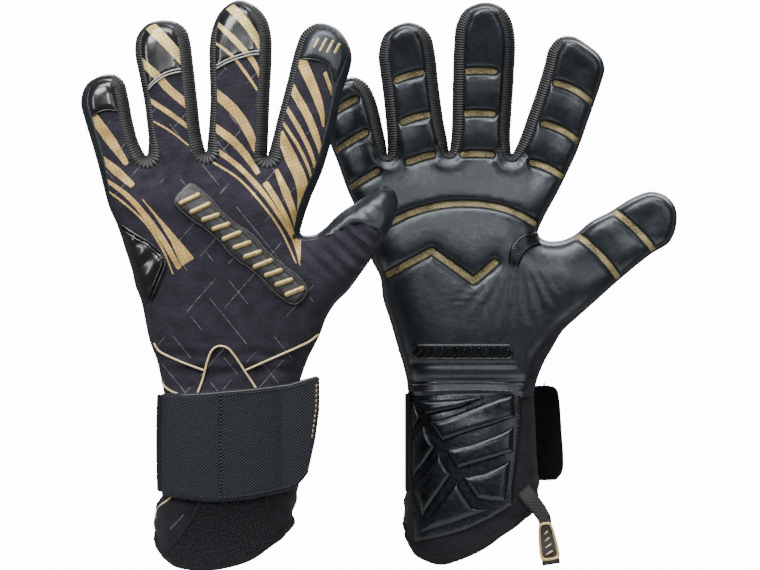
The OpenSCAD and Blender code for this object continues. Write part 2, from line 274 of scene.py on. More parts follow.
def rumple(x, z, scale, seed=0.0):
    """smooth noise in -1..1 for arrays of places in millimetres"""
    return np.array([noise.noise(Vector((a / scale, b / scale, seed))) for a, b in zip(x, z)])


# ---------------------------------------------------------------- one glove's shape
class Glove:
    """the places of one glove: across (x) and up (z) in its own plane, and depth towards the palm (p)"""

    def __init__(self, side):
        self.side = side
        self.sign = 1 if side == "left" else -1
        self.origin = Vector(JOINTS[side + "_wrist"]["pos_m"])
        labels = [label for label, run in OUTLINE[side] for _ in run]
        line, source = spline([point for _, run in OUTLINE[side] for point in run], 0.06, closed=True)
        label = [labels[i] for i in source]
        way = unit(np.roll(line, -9, axis=0) - np.roll(line, 9, axis=0))
        inward = np.stack([way[:, 1], -way[:, 0]], axis=1)
        far = [np.linalg.norm(line - np.array(c), axis=1) for c in CROTCH[side]]
        close = np.min(far, axis=0)
        keep = [i for i, name in enumerate(label)
                if close[i] < 1.6 or i % (5 if name.startswith("gusset") else 15) == 0]
        self.line = line = line[keep]
        self.inward = inward[keep]
        self.label = [label[i] for i in keep]
        self.crotch_at = [int(np.argmin(np.linalg.norm(line - np.array(c), axis=1)))
                          for c in CROTCH[side]]
        self.outline = resample(line, 0.9)
        self.rim = [self.rim_width(k) for k in (0, 1)]
        inner = line + self.inward * (0.6 * (self.rim[0] + self.rim[1]) / 2)[:, None]
        run = np.linalg.norm(np.roll(inner, -1, axis=0) - inner, axis=1)
        self.along = np.concatenate([[0], np.cumsum(run)[:-1]])

    def name(self, part):
        return self.side + "_" + part

    def world(self, x, z, p):
        o = self.origin
        return Vector((o.x + x * MM, o.y + self.sign * p * MM, o.z + z * MM))

    def rim_width(self, k):
        wide = []
        for i, name in enumerate(self.label):
            if name.startswith("gusset"):
                first = i < self.crotch_at["abc".index(name[-1])]
                name = "gusset_in" if first else "gusset_out"
            near = math.exp(-(min(math.dist(self.line[i], c) for c in CROTCH[self.side]) / 5.5) ** 2)
            value = RIM[name][k] + ((3.9, 6.4)[k] - RIM[name][k]) * near
            x, z = self.line[i]
            if k == 0 and name in ("thumb_low", "heel") and x > 0:
                value = float(np.interp(z, (-4, 17, 33), (4.5, 6, value)))
            wide.append(value)
        kernel = np.hanning(41)
        kernel /= kernel.sum()
        padded = np.array(wide[-20:] + wide + wide[:20], float)
        return np.convolve(padded, kernel, mode="valid")

    def along_finger(self, finger, x, z):
        bx, bz, lean = FORM[self.side][finger][:3]
        a = math.radians(lean)
        x, z = np.asarray(x, float) - bx, np.asarray(z, float) - bz
        return x * math.sin(a) + z * math.cos(a), x * math.cos(a) - z * math.sin(a)

    def on_finger(self, finger, s, u=0.0):
        bx, bz, lean = FORM[self.side][finger][:3]
        a = math.radians(lean)
        return np.array([bx + s * math.sin(a) + u * math.cos(a),
                         bz + s * math.cos(a) - u * math.sin(a)])

    def thumb_share(self, x, z):
        s, u = self.along_finger("thumb", x, z)
        return smooth(-20, 4, s) * smooth(-27, -19, u), s

    def depth(self, x, z):
        """the middle surface's own depth: fingers curl, and the thumb leans, towards the palm"""
        share, s = self.thumb_share(x, z)
        rise = np.maximum(np.asarray(z, float) - CURL_FROM, 0)
        lean = THUMB_SLOPE[self.side] * np.where(s > 0, s, 0) * share
        return CURL * rise ** 2 * (1 - share) + lean

    def thick(self, x, z):
        share, _ = self.thumb_share(x, z)
        slim = np.maximum(smooth(86, 112, z), share)
        palm = PALM * (0.86 + 0.14 * smooth(-2, 30, z)) + 5 * (1 - smooth(-16, 6, z))
        return palm + (STALL + 0.4 - palm) * slim, 19 + (10.8 - 19) * slim

    def height(self, x, z, gap=None):
        """how far the shell stands off its middle surface"""
        t, r = self.thick(x, z)
        if gap is None:
            gap = distance(np.stack([x, z], axis=1), self.outline, closed=True)
        q = np.clip(gap / r, 0, 1)
        return t * (1 - (1 - q) ** 2.4) ** (1 / 2.4)

    def tuck(self, z):
        """how far the palm sinks under the wrist guard, below the wrist seam"""
        return 3.6 * (1 - smooth(-7.5, -3.8, z))

    def border(self, k, step=1.2, extra=0.0):
        loop = self.line + self.inward * (self.rim[k] + extra)[:, None]
        return resample(loop, step)

    def regions(self):
        """the outline of each finger beyond the place where it begins to bend"""
        form = FORM[self.side]
        out = {}
        crotch = [np.array(c, float) for c in CROTCH[self.side]]

        def gap_way(a, b):
            lean = math.radians((form[a][2] + form[b][2]) / 2)
            return np.array([math.sin(lean), math.cos(lean)]) * 95

        ways = [gap_way(a, b) for a, b in zip(FINGERS, FINGERS[1:])]
        start = self.on_finger("little", form["little"][5], -19)
        out["little"] = [start, crotch[0], crotch[0] + ways[0], start + np.array([-45, 80])]
        for i, name in ((1, "ring"), (2, "middle")):
            out[name] = [crotch[i - 1], crotch[i], crotch[i] + ways[i], crotch[i - 1] + ways[i - 1]]
        start = self.on_finger("index", form["index"][5] - 1, 20)
        out["index"] = [crotch[2], start, start + np.array([60, 60]), crotch[2] + ways[2]]
        s = form["thumb"][5]
        out["thumb"] = [self.on_finger("thumb", t, u)
                        for t, u in ((s, -22.4), (s + 70, -22.4), (s + 70, 26), (s, 26))]
        return {name: np.array(loop) for name, loop in out.items()}

    def split(self, finger):
        return BEND_END["thumb" if finger == "thumb" else "finger"] + 0.3

    def region_of(self, points):
        """hand, or a finger's lower or upper stretch, for each point"""
        points = np.asarray(points, float)
        out = np.full(len(points), "hand", dtype=object)
        for finger, loop in self.regions().items():
            within = inside(points, loop)
            s, _ = self.along_finger(finger, points[:, 0], points[:, 1])
            out[within & (s < self.split(finger))] = finger + "_lower"
            out[within & (s >= self.split(finger))] = finger + "_upper"
        return out

    def cuts(self):
        """lines along which the sheets are cut between those regions"""
        lines = []
        for finger, loop in self.regions().items():
            ends = (loop[0], loop[3]) if finger == "thumb" else (loop[0], loop[1])
            lines.append(resample(np.array(ends), 1.3, closed=False))
            s = self.split(finger)
            lines.append(resample(np.array([self.on_finger(finger, s, -18),
                                            self.on_finger(finger, s, 18)]), 1.3, closed=False))
        return lines

    def bind(self, obj, region):
        """bakes a piece's placement into its mesh; the bodies and the stretch of the joint that its region
        crosses are worked out but not used
        """
        if region == "hand":
            self.name("cuff")
            self.name("hand")
            self.world(0, -8, 0)
            self.world(0, 9, 0)
            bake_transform(obj)
            return
        finger, part = region.rsplit("_", 1)
        kind = "thumb" if finger == "thumb" else "finger"
        if part == "lower":
            bodies = (self.name("hand"), self.name(finger + "_lower"))
            s0, s1 = FORM[self.side][finger][5] + 0.2, BEND_END[kind]
        else:
            bodies = (self.name(finger + "_lower"), self.name(finger + "_upper"))
            s0, s1 = BEND_END[kind] + 0.4, TIP_END[kind]
        a, b = self.on_finger(finger, s0), self.on_finger(finger, s1)
        self.world(a[0], a[1], 0)
        self.world(b[0], b[1], 0)
        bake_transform(obj)


GLOVES = {side: Glove(side) for side in SIDES}


# ---------------------------------------------------------------- materials
def material(name, base, rough, **inputs):
    mat = bpy.data.materials.new(name)
    mat.use_nodes = True
    shader = mat.node_tree.nodes["Principled BSDF"].inputs
    shader["Base Color"].default_value = (*base, 1)
    shader["Roughness"].default_value = rough
    for key, value in inputs.items():
        shader[key.replace("_", " ")].default_value = value
    return mat


def times(tone, *color):
    return tuple(c * tone for c in color)


class Net:
    """short ways to add a material's shader nodes; places are millimetres on the flat pattern"""

    def __init__(self, *looks, **inputs):
        self.mat = material(*looks, **inputs)
        self.nodes, self.links = self.mat.node_tree.nodes, self.mat.node_tree.links
        self.uv = self.add("UVMap").outputs[0]
        self.uv.node.uv_map = "flat"

    def put(self, socket, value):
        if hasattr(value, "is_linked"):
            self.links.new(value, socket)
        else:
            socket.default_value = value

    def add(self, kind, **inputs):
        node = self.nodes.new("ShaderNode" + kind)
        for key, value in inputs.items():
            self.put(node.inputs[key.replace("_", " ")], value)
        return node

    def place(self, turn=0.0, size=(1, 1)):
        return self.add("Mapping", Vector=self.uv, Rotation=(0, 0, math.radians(turn)),
                        Scale=(100 * size[0], 100 * size[1], 1)).outputs[0]

    def across(self, turn=0.0):
        return self.add("SeparateXYZ", Vector=self.place(turn)).outputs[0]

    def noise(self, scale, detail=2, turn=0.0, size=(1, 1), rough=0.5):
        return self.add("TexNoise", Vector=self.place(turn, size), Scale=scale, Detail=detail,
                        Roughness=rough).outputs[0]

    def wave(self, pitch, turn=0.0, warp=0.0):
        return self.add("TexWave", Vector=self.place(turn), Scale=0.314 / pitch,
                        Distortion=warp).outputs["Fac"]

    def cells(self, scale, turn=0.0):
        return self.add("TexVoronoi", Vector=self.place(turn), Scale=scale).outputs["Distance"]

    def math(self, kind, a, b=0.5):
        node = self.add("Math")
        node.operation = kind
        self.put(node.inputs[0], a)
        self.put(node.inputs[1], b)
        return node.outputs[0]

    def both(self, a, b):
        return self.math("MULTIPLY", a, b)

    def span(self, value, lo, hi, to_lo=0.0, to_hi=1.0):
        return self.add("MapRange", Value=value, From_Min=lo, From_Max=hi, To_Min=to_lo,
                        To_Max=to_hi).outputs[0]

    def mix(self, factor, a, b):
        node = self.add("Mix")
        node.data_type = "RGBA"
        for k, value in ((0, factor), (6, a), (7, b)):
            self.put(node.inputs[k], (*value, 1) if isinstance(value, tuple) else value)
        return node.outputs[2]

    def bump(self, height, depth, strength=1.0, under=None):
        node = self.add("Bump", Height=height, Distance=depth * MM, Strength=strength)
        if under is not None:
            self.put(node.inputs["Normal"], under)
        return node.outputs[0]

    def finish(self, color, rough, normal):
        shader = self.nodes["Principled BSDF"].inputs
        for key, value in (("Base Color", color), ("Roughness", rough), ("Normal", normal)):
            self.put(shader[key], value)
        return self.mat


def printed_fabric(name="printed_fabric", dark=1.0, printed=(0.0, 191.0)):
    """mottled cloth, with faint broken lines where the flat pattern's x lies within printed"""
    net = Net(name, (0.020, 0.017, 0.025), 0.85, Sheen_Weight=0.05, Sheen_Roughness=0.4,
              Specular_IOR_Level=0.2)
    fleck = net.noise(2.2, 4, rough=0.7)
    base = net.mix(net.span(net.noise(0.12, 4), 0.3, 0.7), times(dark, 0.006, 0.0052, 0.0088),
                   times(dark, 0.019, 0.0165, 0.0265))
    base = net.mix(net.span(fleck, 0.45, 0.75, 0, 0.55), base, times(dark, 0.075, 0.069, 0.095))
    plain = net.across()
    here = net.both(net.math("GREATER_THAN", plain, printed[0]), net.math("LESS_THAN", plain, printed[1]))
    for turn, offset in ((41, 0.0), (-39, 4.0)):
        gap = net.math("PINGPONG", net.math("ADD", net.across(turn), offset), 6.5)
        line = net.math("LESS_THAN", gap, 0.17)
        broken = net.math("GREATER_THAN", net.noise(0.06, 0, turn, (1, 0.8)), 0.52)
        faint = net.span(net.noise(0.4, 2), 0.35, 0.65, 0.2, 0.95)
        base = net.mix(net.both(net.both(line, broken), net.both(faint, here)), base, (0.17, 0.165, 0.175))
    weave = net.both(net.wave(0.55, 45), net.wave(0.55, -45))
    soft = net.bump(net.noise(0.5, 4), 0.9, 0.6)
    return net.finish(base, net.span(fleck, 0.3, 0.7, 0.72, 0.9), net.bump(weave, 0.16, 0.7, soft))


def gold_print(name="gold_print", tint=(0.54, 0.36, 0.115), shine=0.4):
    net = Net(name, tint, shine, Metallic=0.15, Specular_IOR_Level=0.45)
    patch = net.noise(0.14, 3)
    color = net.mix(net.span(patch, 0.35, 0.68), times(0.72, *tint), times(1.25, *tint))
    grid = net.math("MINIMUM", net.wave(1.9, -18), net.wave(1.9, 72))
    color = net.mix(net.span(grid, 0.0, 0.22, 0.6, 0.0), color, times(0.4, *tint))
    return net.finish(color, net.span(patch, 0.3, 0.7, shine - 0.06, shine + 0.12),
                      net.bump(grid, 0.12, 0.4))


def latex(name="palm_latex", rough=0.36, tone=1.0, gloss=0.6):
    net = Net(name, (0.006, 0.008, 0.010), rough, Specular_IOR_Level=gloss,
              Specular_Tint=(0.88, 0.95, 1.0, 1))
    color = net.mix(net.span(net.noise(0.07, 3), 0.35, 0.65), times(tone, 0.0028, 0.0036, 0.0048),
                    times(tone, 0.0064, 0.0082, 0.0106))
    dust = net.math("GREATER_THAN", net.noise(1.3, 2), 0.80)
    shine = net.span(net.noise(0.35, 4), 0.3, 0.7, rough - 0.06, rough + 0.08)
    soft = net.bump(net.noise(0.22, 3), 0.5, 0.35)
    return net.finish(net.mix(dust, color, (0.10, 0.10, 0.09)), shine,
                      net.bump(net.noise(4.5, 3, rough=0.6), 0.05, 0.55, soft))


def leather(name="leather_trim", rough=0.2):
    net = Net(name, (0.009, 0.009, 0.010), rough, Specular_IOR_Level=0.6, Coat_Weight=0.35,
              Coat_Roughness=0.15)
    color = net.mix(net.span(net.noise(0.15, 3), 0.35, 0.65), (0.004, 0.004, 0.005),
                    (0.009, 0.009, 0.011))
    soft = net.bump(net.noise(0.1, 1), 0.8, 0.35)
    return net.finish(color, net.span(net.noise(0.1, 2), 0.3, 0.7, rough, rough + 0.1),
                      net.bump(net.cells(0.9), 0.02, 0.25, soft))


def rib_knit(name="rib_gusset"):
    net = Net(name, (0.010, 0.010, 0.011), 0.6, Specular_IOR_Level=0.35)
    ridge = net.wave(RIB)
    # the colour runs from near black in the gaps between the ribs to grey on their crests, in step with the
    # ribs' bumps: painted shade in the gaps and a painted highlight on each crest
    color = net.mix(net.span(ridge, 0.25, 0.95), (0.0015, 0.0015, 0.0015), (0.052, 0.052, 0.055))
    color = net.mix(net.span(net.noise(1.8, 3), 0.5, 0.85, 0, 0.4), color, (0.03, 0.03, 0.032))
    return net.finish(color, 0.6, net.bump(net.wave(0.62, 8, 1.5), 0.12, 0.6, net.bump(ridge, 0.35, 0.8)))


def gold_mesh(name="gold_mesh"):
    net = Net(name, (0.34, 0.27, 0.12), 0.45, Metallic=0.15)
    hole = net.cells(1.25, 30)
    color = net.mix(net.span(hole, 0.25, 0.45), (0.40, 0.32, 0.145), (0.15, 0.12, 0.06))
    color = net.mix(net.span(net.noise(0.12, 2), 0.42, 0.62, 0, 0.55), color, (0.52, 0.43, 0.20))
    return net.finish(color, 0.45, net.bump(hole, -0.3, 0.8))


def woven_elastic(name="strap_elastic"):
    net = Net(name, (0.006, 0.006, 0.007), 0.7, Specular_IOR_Level=0.2)
    dots = net.both(net.wave(1.15, 38), net.wave(1.15, -52))
    color = net.mix(net.span(dots, 0.08, 0.6), (0.0028, 0.0034, 0.0048), (0.036, 0.042, 0.055))
    return net.finish(color, net.span(net.noise(0.4, 3), 0.3, 0.7, 0.6, 0.8), net.bump(dots, 0.3, 0.8))


def loop_pile(name="loop_pile", tone=1.0):
    net = Net(name, (0.008, 0.008, 0.009), 0.9, Specular_IOR_Level=0.2)
    curl = net.noise(1.25, 6, rough=0.8)
    color = net.mix(net.span(curl, 0.47, 0.62), (0.002, 0.002, 0.002), times(tone, 0.030, 0.035, 0.044))
    return net.finish(color, 0.9, net.bump(curl, 1.6, 0.9))


def knit(name="sleeve_knit", tone=1.0):
    net = Net(name, (0.012, 0.011, 0.015), 0.82, Specular_IOR_Level=0.25)
    weave = net.both(net.wave(0.7), net.wave(0.9, 90))
    color = net.mix(net.span(net.noise(0.2, 4), 0.3, 0.7), times(tone, 0.007, 0.006, 0.009),
                    times(tone, 0.020, 0.018, 0.026))
    color = net.mix(net.span(net.noise(2.4, 3), 0.55, 0.85, 0, 0.45), color,
                    times(tone, 0.04, 0.037, 0.045))
    return net.finish(color, 0.82, net.bump(weave, 0.15, 0.6, net.bump(net.noise(0.4, 4), 0.7, 0.5)))


def webbing(name="webbing"):
    net = Net(name, (0.014, 0.014, 0.015), 0.6, Specular_IOR_Level=0.35)
    weave = net.both(net.wave(1.1, 60), net.wave(0.7, -30))
    return net.finish(net.mix(weave, (0.002, 0.002, 0.002), (0.011, 0.011, 0.013)), 0.6,
                      net.bump(weave, 0.25, 0.8))


def plastic(name, tint, rough, metallic=0.0):
    net = Net(name, tint, rough, Metallic=metallic, Specular_IOR_Level=0.5)
    wear = net.noise(0.5, 4)
    pale = tuple(c * 1.25 + 0.01 for c in tint)
    return net.finish(net.mix(net.span(wear, 0.35, 0.7), times(0.75, *tint), pale),
                      net.span(wear, 0.3, 0.7, rough - 0.05, rough + 0.1),
                      net.bump(net.noise(3.0, 2), 0.04, 0.4))


M = {
    "fabric": printed_fabric(), "cuff_print": printed_fabric("cuff_fabric", 0.42, (238.0, 264.0)),
    "gold_print": gold_print(), "gold_foil": gold_print("gold_foil", (0.72, 0.56, 0.20), 0.28),
    "latex": latex(tone=1.9), "guard": latex("guard_latex", 0.27, 0.5, 0.42),
    "leather": leather(), "rib": rib_knit(), "mesh": gold_mesh(), "elastic": woven_elastic(),
    "pile": loop_pile(), "hem": knit("hem_knit", 0.3), "lining": knit("lining_knit", 0.8),
    "hook": loop_pile("hook_tape", 0.12), "webbing": webbing(),
    "gold": plastic("gold_relief", (0.42, 0.31, 0.13), 0.3, 0.35),
    "dull_gold": plastic("dull_gold_thread", (0.26, 0.21, 0.12), 0.5),
    "piping": plastic("gold_piping", (0.62, 0.50, 0.26), 0.42, 0.1),
    "grey": plastic("badge_grey", (0.030, 0.031, 0.032), 0.5),
    "thread": plastic("grey_thread", (0.10, 0.10, 0.10), 0.6),
    "black_thread": plastic("black_thread", (0.012, 0.012, 0.012), 0.6),
    "black": plastic("soft_black", (0.008, 0.008, 0.009), 0.4),
    "grey_piping": plastic("grey_piping", (0.36, 0.36, 0.34), 0.35),
}


# ---------------------------------------------------------------- pieces
def make(glove, name, places, faces, mats, ids=None, uvs=None, flip=False, slot=None):
    """a mesh piece; places are (across, up, depth) rows of one glove in millimetres"""
    mesh = bpy.data.meshes.new(glove.name(name))
    o, sign = glove.origin, glove.sign
    co = np.stack([o.x + places[:, 0] * MM, o.y + sign * places[:, 2] * MM,
                   o.z + places[:, 1] * MM], axis=1)
    if flip:
        faces = [tuple(reversed(f)) for f in faces]
    mesh.from_pydata([tuple(c) for c in co], [], [tuple(int(i) for i in f) for f in faces])
    flat = places[:, :2] if uvs is None else uvs
    layer = mesh.uv_layers.new(name="flat")
    corner = np.zeros(len(mesh.loops), int)
    mesh.loops.foreach_get("vertex_index", corner)
    layer.data.foreach_set("uv", (np.asarray(flat, float)[corner] / 100 + 1.5).ravel())
    for mat in mats:
        mesh.materials.append(mat)
    if ids is not None:
        mesh.polygons.foreach_set("material_index", np.asarray(ids, int))
    mesh.polygons.foreach_set("use_smooth", np.ones(len(mesh.polygons), bool))
    mesh.update()
    obj = bpy.data.objects.new(glove.name(name), mesh)
    bpy.context.scene.collection.objects.link(obj)
    return obj


def grid_faces(rows, cols, wrap=False):
    last = cols if wrap else cols - 1
    return [(r * cols + c, r * cols + (c + 1) % cols, (r + 1) * cols + (c + 1) % cols,
             (r + 1) * cols + c) for r in range(rows - 1) for c in range(last)]


def part_mesh(places, faces, keep):
    """the kept faces with only the points that they use"""
    faces = faces[keep]
    used, back = np.unique(faces, return_inverse=True)
    return places[used], back.reshape(faces.shape)


def tube_faces(rows, count):
    """the faces of rows rings of count points, and both flat ends"""
    ends = [tuple(range(count))[::-1], tuple((rows - 1) * count + k for k in range(count))]
    return grid_faces(rows, count, wrap=True) + ends


def triangulate(loops, lines, border, step, keep_off):
    """a triangulation of the border's inside that follows every loop and line"""
    points, edges = [], []

    def add(run, closed):
        first = len(points)
        points.extend(run)
        last = len(points) - 1
        edges.extend((i, i + 1) for i in range(first, last))
        if closed:
            edges.append((last, first))

    add(border, True)
    for loop in loops:
        add(loop, True)
    for line in lines:
        add(line, False)
    fixed = np.array(points)
    lo, hi = border.min(axis=0), border.max(axis=0)
    rows = np.arange(lo[1], hi[1], step * 0.866)
    grid = [(x + (step / 2 if i % 2 else 0), z) for i, z in enumerate(rows)
            for x in np.arange(lo[0], hi[0], step)]
    grid = np.array(grid)
    grid = grid[inside(grid, border)]
    near = np.zeros(len(grid), bool)
    for lo_i in range(0, len(fixed), 400):
        d = ((grid[:, None, :] - fixed[None, lo_i:lo_i + 400]) ** 2).sum(axis=2).min(axis=1)
        near |= d < keep_off ** 2
    everything = list(fixed) + list(grid[~near])
    out = delaunay_2d_cdt([Vector(p) for p in everything], edges, [], 0, 1e-6)
    places = np.array([tuple(v) for v in out[0]])
    faces = np.array([f for f in out[2] if len(f) == 3])
    a, b, c = (places[faces[:, k]] for k in range(3))
    turn = (b[:, 0] - a[:, 0]) * (c[:, 1] - a[:, 1]) - (b[:, 1] - a[:, 1]) * (c[:, 0] - a[:, 0])
    faces[turn < 0] = faces[turn < 0][:, ::-1]
    faces = faces[np.abs(turn) > 1e-7]
    return places, faces


def tube(glove, name, path, radius, mat, slot, sides=8):
    """a round cord along a path of (across, up, depth) points"""
    path = np.asarray(path, float)
    way = unit(np.gradient(path, axis=0))
    across = unit(np.cross(way, (0, 0, 1.0)))
    over = np.cross(across, way)
    turn = np.linspace(0, 2 * math.pi, sides, endpoint=False)
    rings = [p + radius * (math.cos(t) * across[i] + math.sin(t) * over[i])
             for i, p in enumerate(path) for t in turn]
    uvs = np.array([(run, k * 0.8) for run in run_of(path) for k in range(sides)])
    return make(glove, name, np.array(rings), tube_faces(len(path), sides), [mat], uvs=uvs,
                flip=glove.sign < 0, slot=slot)


def finger_nodes(glove, region, front):
    """the CAD nodes that a region's sheet stands for"""
    if region == "hand":
        return [glove.name("palm_foam" if front else "backhand_body")]
    if front and region == "thumb_lower":
        return []
    finger, part = region.rsplit("_", 1)
    return [glove.name(f"{finger}_{'foam' if front else 'stall'}_{part}")]


# ---------------------------------------------------------------- palm side
SLOT_TILT = {"little": 16, "ring": 9, "middle": 2, "index": -12, "thumb": 15}
SLOT_REACH = {"little": (-15, 5.5), "ring": (-6.2, 6.6), "middle": (-7.2, 7.2),
              "index": (-6, 14.5), "thumb": (-15, 16)}


def flex_slots(glove):
    """the centre lines of the slots that let the palm and fingers flex"""
    slots = []
    for finger in FINGERS + ("thumb",):
        lo, hi = SLOT_REACH[finger]
        slant = math.tan(math.radians(SLOT_TILT[finger]))
        bow = 1.6 if finger in ("index", "thumb") else 0.35
        mid, half = (lo + hi) / 2, (hi - lo) / 2
        last = 38.5 if finger == "little" else 42.3
        for s in (-1.5, 21) if finger == "thumb" else (0.6, 21, last):
            slots.append([glove.on_finger(finger, s + slant * u + bow * (1 - ((u - mid) / half) ** 2), u)
                          for u in np.linspace(lo, hi, 5)])
    return slots + [PALM_SLOT]


PALM_SLOT = [(-47, 77.5), (-39, 81.7), (-30, 86), (-15, 90), (-2.5, 91), (10, 90), (20, 87.5),
             (27.5, 84), (32.5, 81)]
ZIGZAG = [(-42, 54.5), (-19, 67.2), (2, 52), (13.6, 62)]


def zigzag_loop(width):
    """the mitred outline of the palm's zigzag slot"""
    p = np.array(ZIGZAG, float)
    way = unit(np.diff(p, axis=0))
    side = np.stack([-way[:, 1], way[:, 0]], axis=1)
    mitres = [(a + b) / ((a + b) @ a) for a, b in zip(side, side[1:])]
    corner = np.array([side[0], *mitres, side[-1]]) * width / 2
    return resample(np.vstack([p + corner, (p - corner)[::-1]]), 1.0)


def palm_puff(glove, places, edge, slot):
    """the foam's height off the hand, by the distances to the sheet's border and to the nearest slot"""
    x, z = places[:, 0], places[:, 1]
    floor = 0.4
    puff = floor + (FOAM - floor) * rounded(slot, 2.8) + 1.5 * (1 - np.exp(-slot / 5.5))
    crotch = np.min([np.hypot(x - c[0], z - c[1]) for c in CROTCH[glove.side]], axis=0)
    ledge = np.maximum(edge - 2.4 * (1 - smooth(6.5, 10, crotch)), 0)
    puff *= 0.35 + 0.65 * rounded(ledge, 2.4)
    puff *= rounded(edge + 0.05, 1.6)
    inside_heel = smooth(-31, -28, x) * (1 - smooth(22, 25, x))
    puff -= 1.5 * np.exp(-((z - 10.2) / 0.8) ** 2) * inside_heel
    puff *= 0.22 + 0.78 * rounded(np.clip(z - 2.4, 0, None), 3.2)
    return puff


def palm_pads(glove):
    """latex foam, puffed between its slots, with gold mesh on the floor of each slot"""
    loops = [resample(capsule(line, SLOT_W), 0.8) for line in flex_slots(glove)]
    loops.append(zigzag_loop(SLOT_W * 1.1))
    border = glove.border(0, 1.1)
    points = [glove.border(0, 1.1, extra=e) for e in (0.35, 0.9, 1.7)]
    for loop in loops:
        out = outward(loop)
        points += [loop + out * reach for near in (0.35, 0.95, 1.8) for reach in (near, -near)]
    points = np.vstack(points)
    points = points[inside(points, border)]
    points = points[nearest(points, loops) > 0.3]
    places, faces = triangulate(loops, [[p] for p in points] + glove.cuts(), border, 1.7, 1.0)
    x, z = places[:, 0], places[:, 1]
    gap = distance(places, glove.outline, closed=True)
    edge = distance(places, border, closed=True)
    slot = np.where(in_any(places, loops), 0, nearest(places, loops))
    puff = palm_puff(glove, places, edge, slot)
    depth = glove.depth(x, z) + glove.height(x, z, gap) + puff \
        + palm_creases(x, z) * smooth(0, 4, slot)
    depth -= glove.tuck(z) + 3.0 * smooth(58, 96, z) * smooth(0, 14, gap)
    shape = np.stack([x, z, depth], axis=1)
    mid = places[faces].mean(axis=1)
    within = inside(mid, border)
    region = glove.region_of(mid)
    gold = in_any(mid, loops)
    for key in sorted(set(region[within])):
        here = within & (region == key)
        obj = make(glove, key + "_pad", *part_mesh(shape, faces, here & ~gold), [M["latex"]],
                   flip=glove.sign > 0, slot="palm_latex")
        glove.bind(obj, key)
        nodes = finger_nodes(glove, key, True)
        if nodes:
            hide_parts(*nodes)
        if (here & gold).any():
            obj = make(glove, key + "_flex_mesh", *part_mesh(shape, faces, here & gold), [M["mesh"]],
                       flip=glove.sign > 0, slot="gold_mesh")
            glove.bind(obj, key)
            if key == "hand":
                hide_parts(glove.name("palm_inserts"))


def palm_creases(x, z):
    """fine folds that fan out below the thumb crotch, and across the heel of the palm"""
    cx, cz = 24, 74
    fan = np.arctan2(x - cx, -(z - cz))
    far = np.hypot(x - cx, z - cz)
    fold = np.sin(fan * 34 + 1.2 * rumple(x, z, 9, 3)) * smooth(14, 20, far) * (1 - smooth(34, 48, far))
    fold *= (1 - smooth(0.45, 0.9, np.abs(fan + 0.1)))
    ripple = np.sin((z + 0.16 * (x + 4) ** 2 / 10) * 1.9 + 1.5 * rumple(x, z, 12, 7))
    ripple *= np.exp(-(((x + 2) / 17) ** 2 + ((z - 45) / 6.5) ** 2))
    return 0.34 * fold + 0.24 * ripple + 0.5 * rumple(x, z, 26, 1)


# ---------------------------------------------------------------- back side
# gold stripes printed on the back: points, and widths from one end to the other
STRIPES = [
    ([(-67, 131.5), (-60.2, 122.2), (-51.8, 110)], (4.5, 5.2, 2.6)),
    ([(-62.7, 111.5), (-55.5, 105.3), (-48.8, 99.2)], (2.5, 4.5, 3)),
    ([(-61.5, 101.5), (-51.8, 94.5), (-41, 82.2), (-32.5, 70), (-25.7, 58)], (1.5, 2.5, 3, 3, 2.5)),
    ([(-61.5, 96.8), (-51.8, 89.5), (-42, 80), (-33.5, 66.5), (-28.7, 55)], (0.8, 1, 1, 1, 0.7)),
    ([(-44.5, 93), (-36.8, 83.7), (-28.5, 72.5), (-21.5, 61.3)], (0.3, 1.4, 3.6, 7.6)),
    ([(-42, 180.5), (-33.5, 172), (-25.7, 163.5)], (5.5, 5.5, 4.5)),
    ([(-44.5, 161), (-36, 153), (-31, 147.5), (-23, 140.7)], (3, 4, 4, 4)),
    ([(-42, 142.7), (-32.5, 136.7), (-22, 129)], (2, 2.5, 2)),
    ([(-42, 133), (-31, 127), (-21, 119.3)], (0.7, 1, 0.7)),
    ([(-4.5, 192), (5, 183), (11.3, 174.5), (15.5, 166)], (4.5, 4.5, 4, 2)),
    ([(-8, 181), (3.5, 170), (11.3, 160.5), (15.5, 150.7)], (1.5, 3, 2.6, 1.5)),
    ([(-8, 170.5), (0.4, 164), (7.5, 155), (15, 144)], (1, 1.5, 1.5, 1)),
    ([(-8, 145.3), (0.4, 138), (7.5, 128.3), (13, 115)], (4.5, 5, 4.6, 2)),
    ([(-8, 128.3), (1.5, 121), (8.8, 112.5), (13.5, 105.3)], (3.5, 4, 3.5, 2.5)),
    ([(-8, 117.5), (3.5, 109), (15, 97), (24.5, 83.5), (31.3, 71.5), (34.3, 59.5)],
     (2.5, 2.5, 2.5, 2, 1.5, 0.5)),
    ([(-10, 111.5), (3.5, 103), (15, 90.7), (24.5, 77.5), (32.5, 60.5)], (1, 1.1, 1.1, 1, 0.6)),
    ([(46.5, 156), (49.5, 147.5)], (1.8, 1.8)),
    ([(35, 161), (41.5, 146.5), (45, 135.5), (45.8, 128.5)], (5.5, 5, 4, 1)),
    ([(31.2, 146), (39, 132), (44, 117.5), (44.5, 111.5)], (4, 4, 3.5, 1)),
    ([(28.8, 136), (35.5, 124.5), (40.3, 113.8), (42.8, 104)], (2, 2.4, 2, 1.2)),
    ([(27, 128.8), (34.2, 117.5), (39, 106.5), (41, 97.5)], (1.4, 1.6, 1.4, 0.8)),
    ([(25.5, 122.5), (30, 112.5), (34.8, 101.5), (35.5, 90), (33.5, 78.5), (34.2, 62)],
     (4, 6, 6, 5, 3, 0.5)),
    ([(22.3, 107.5), (27.4, 95.5), (31.5, 84), (33, 74), (34, 61.5)], (2, 4, 3.2, 1.6, 0.4)),
    ([(16.8, 101), (23.5, 90.5), (29.3, 79), (32.4, 69), (33.8, 60.5)], (3, 3, 2.4, 1.3, 0.4)),
]
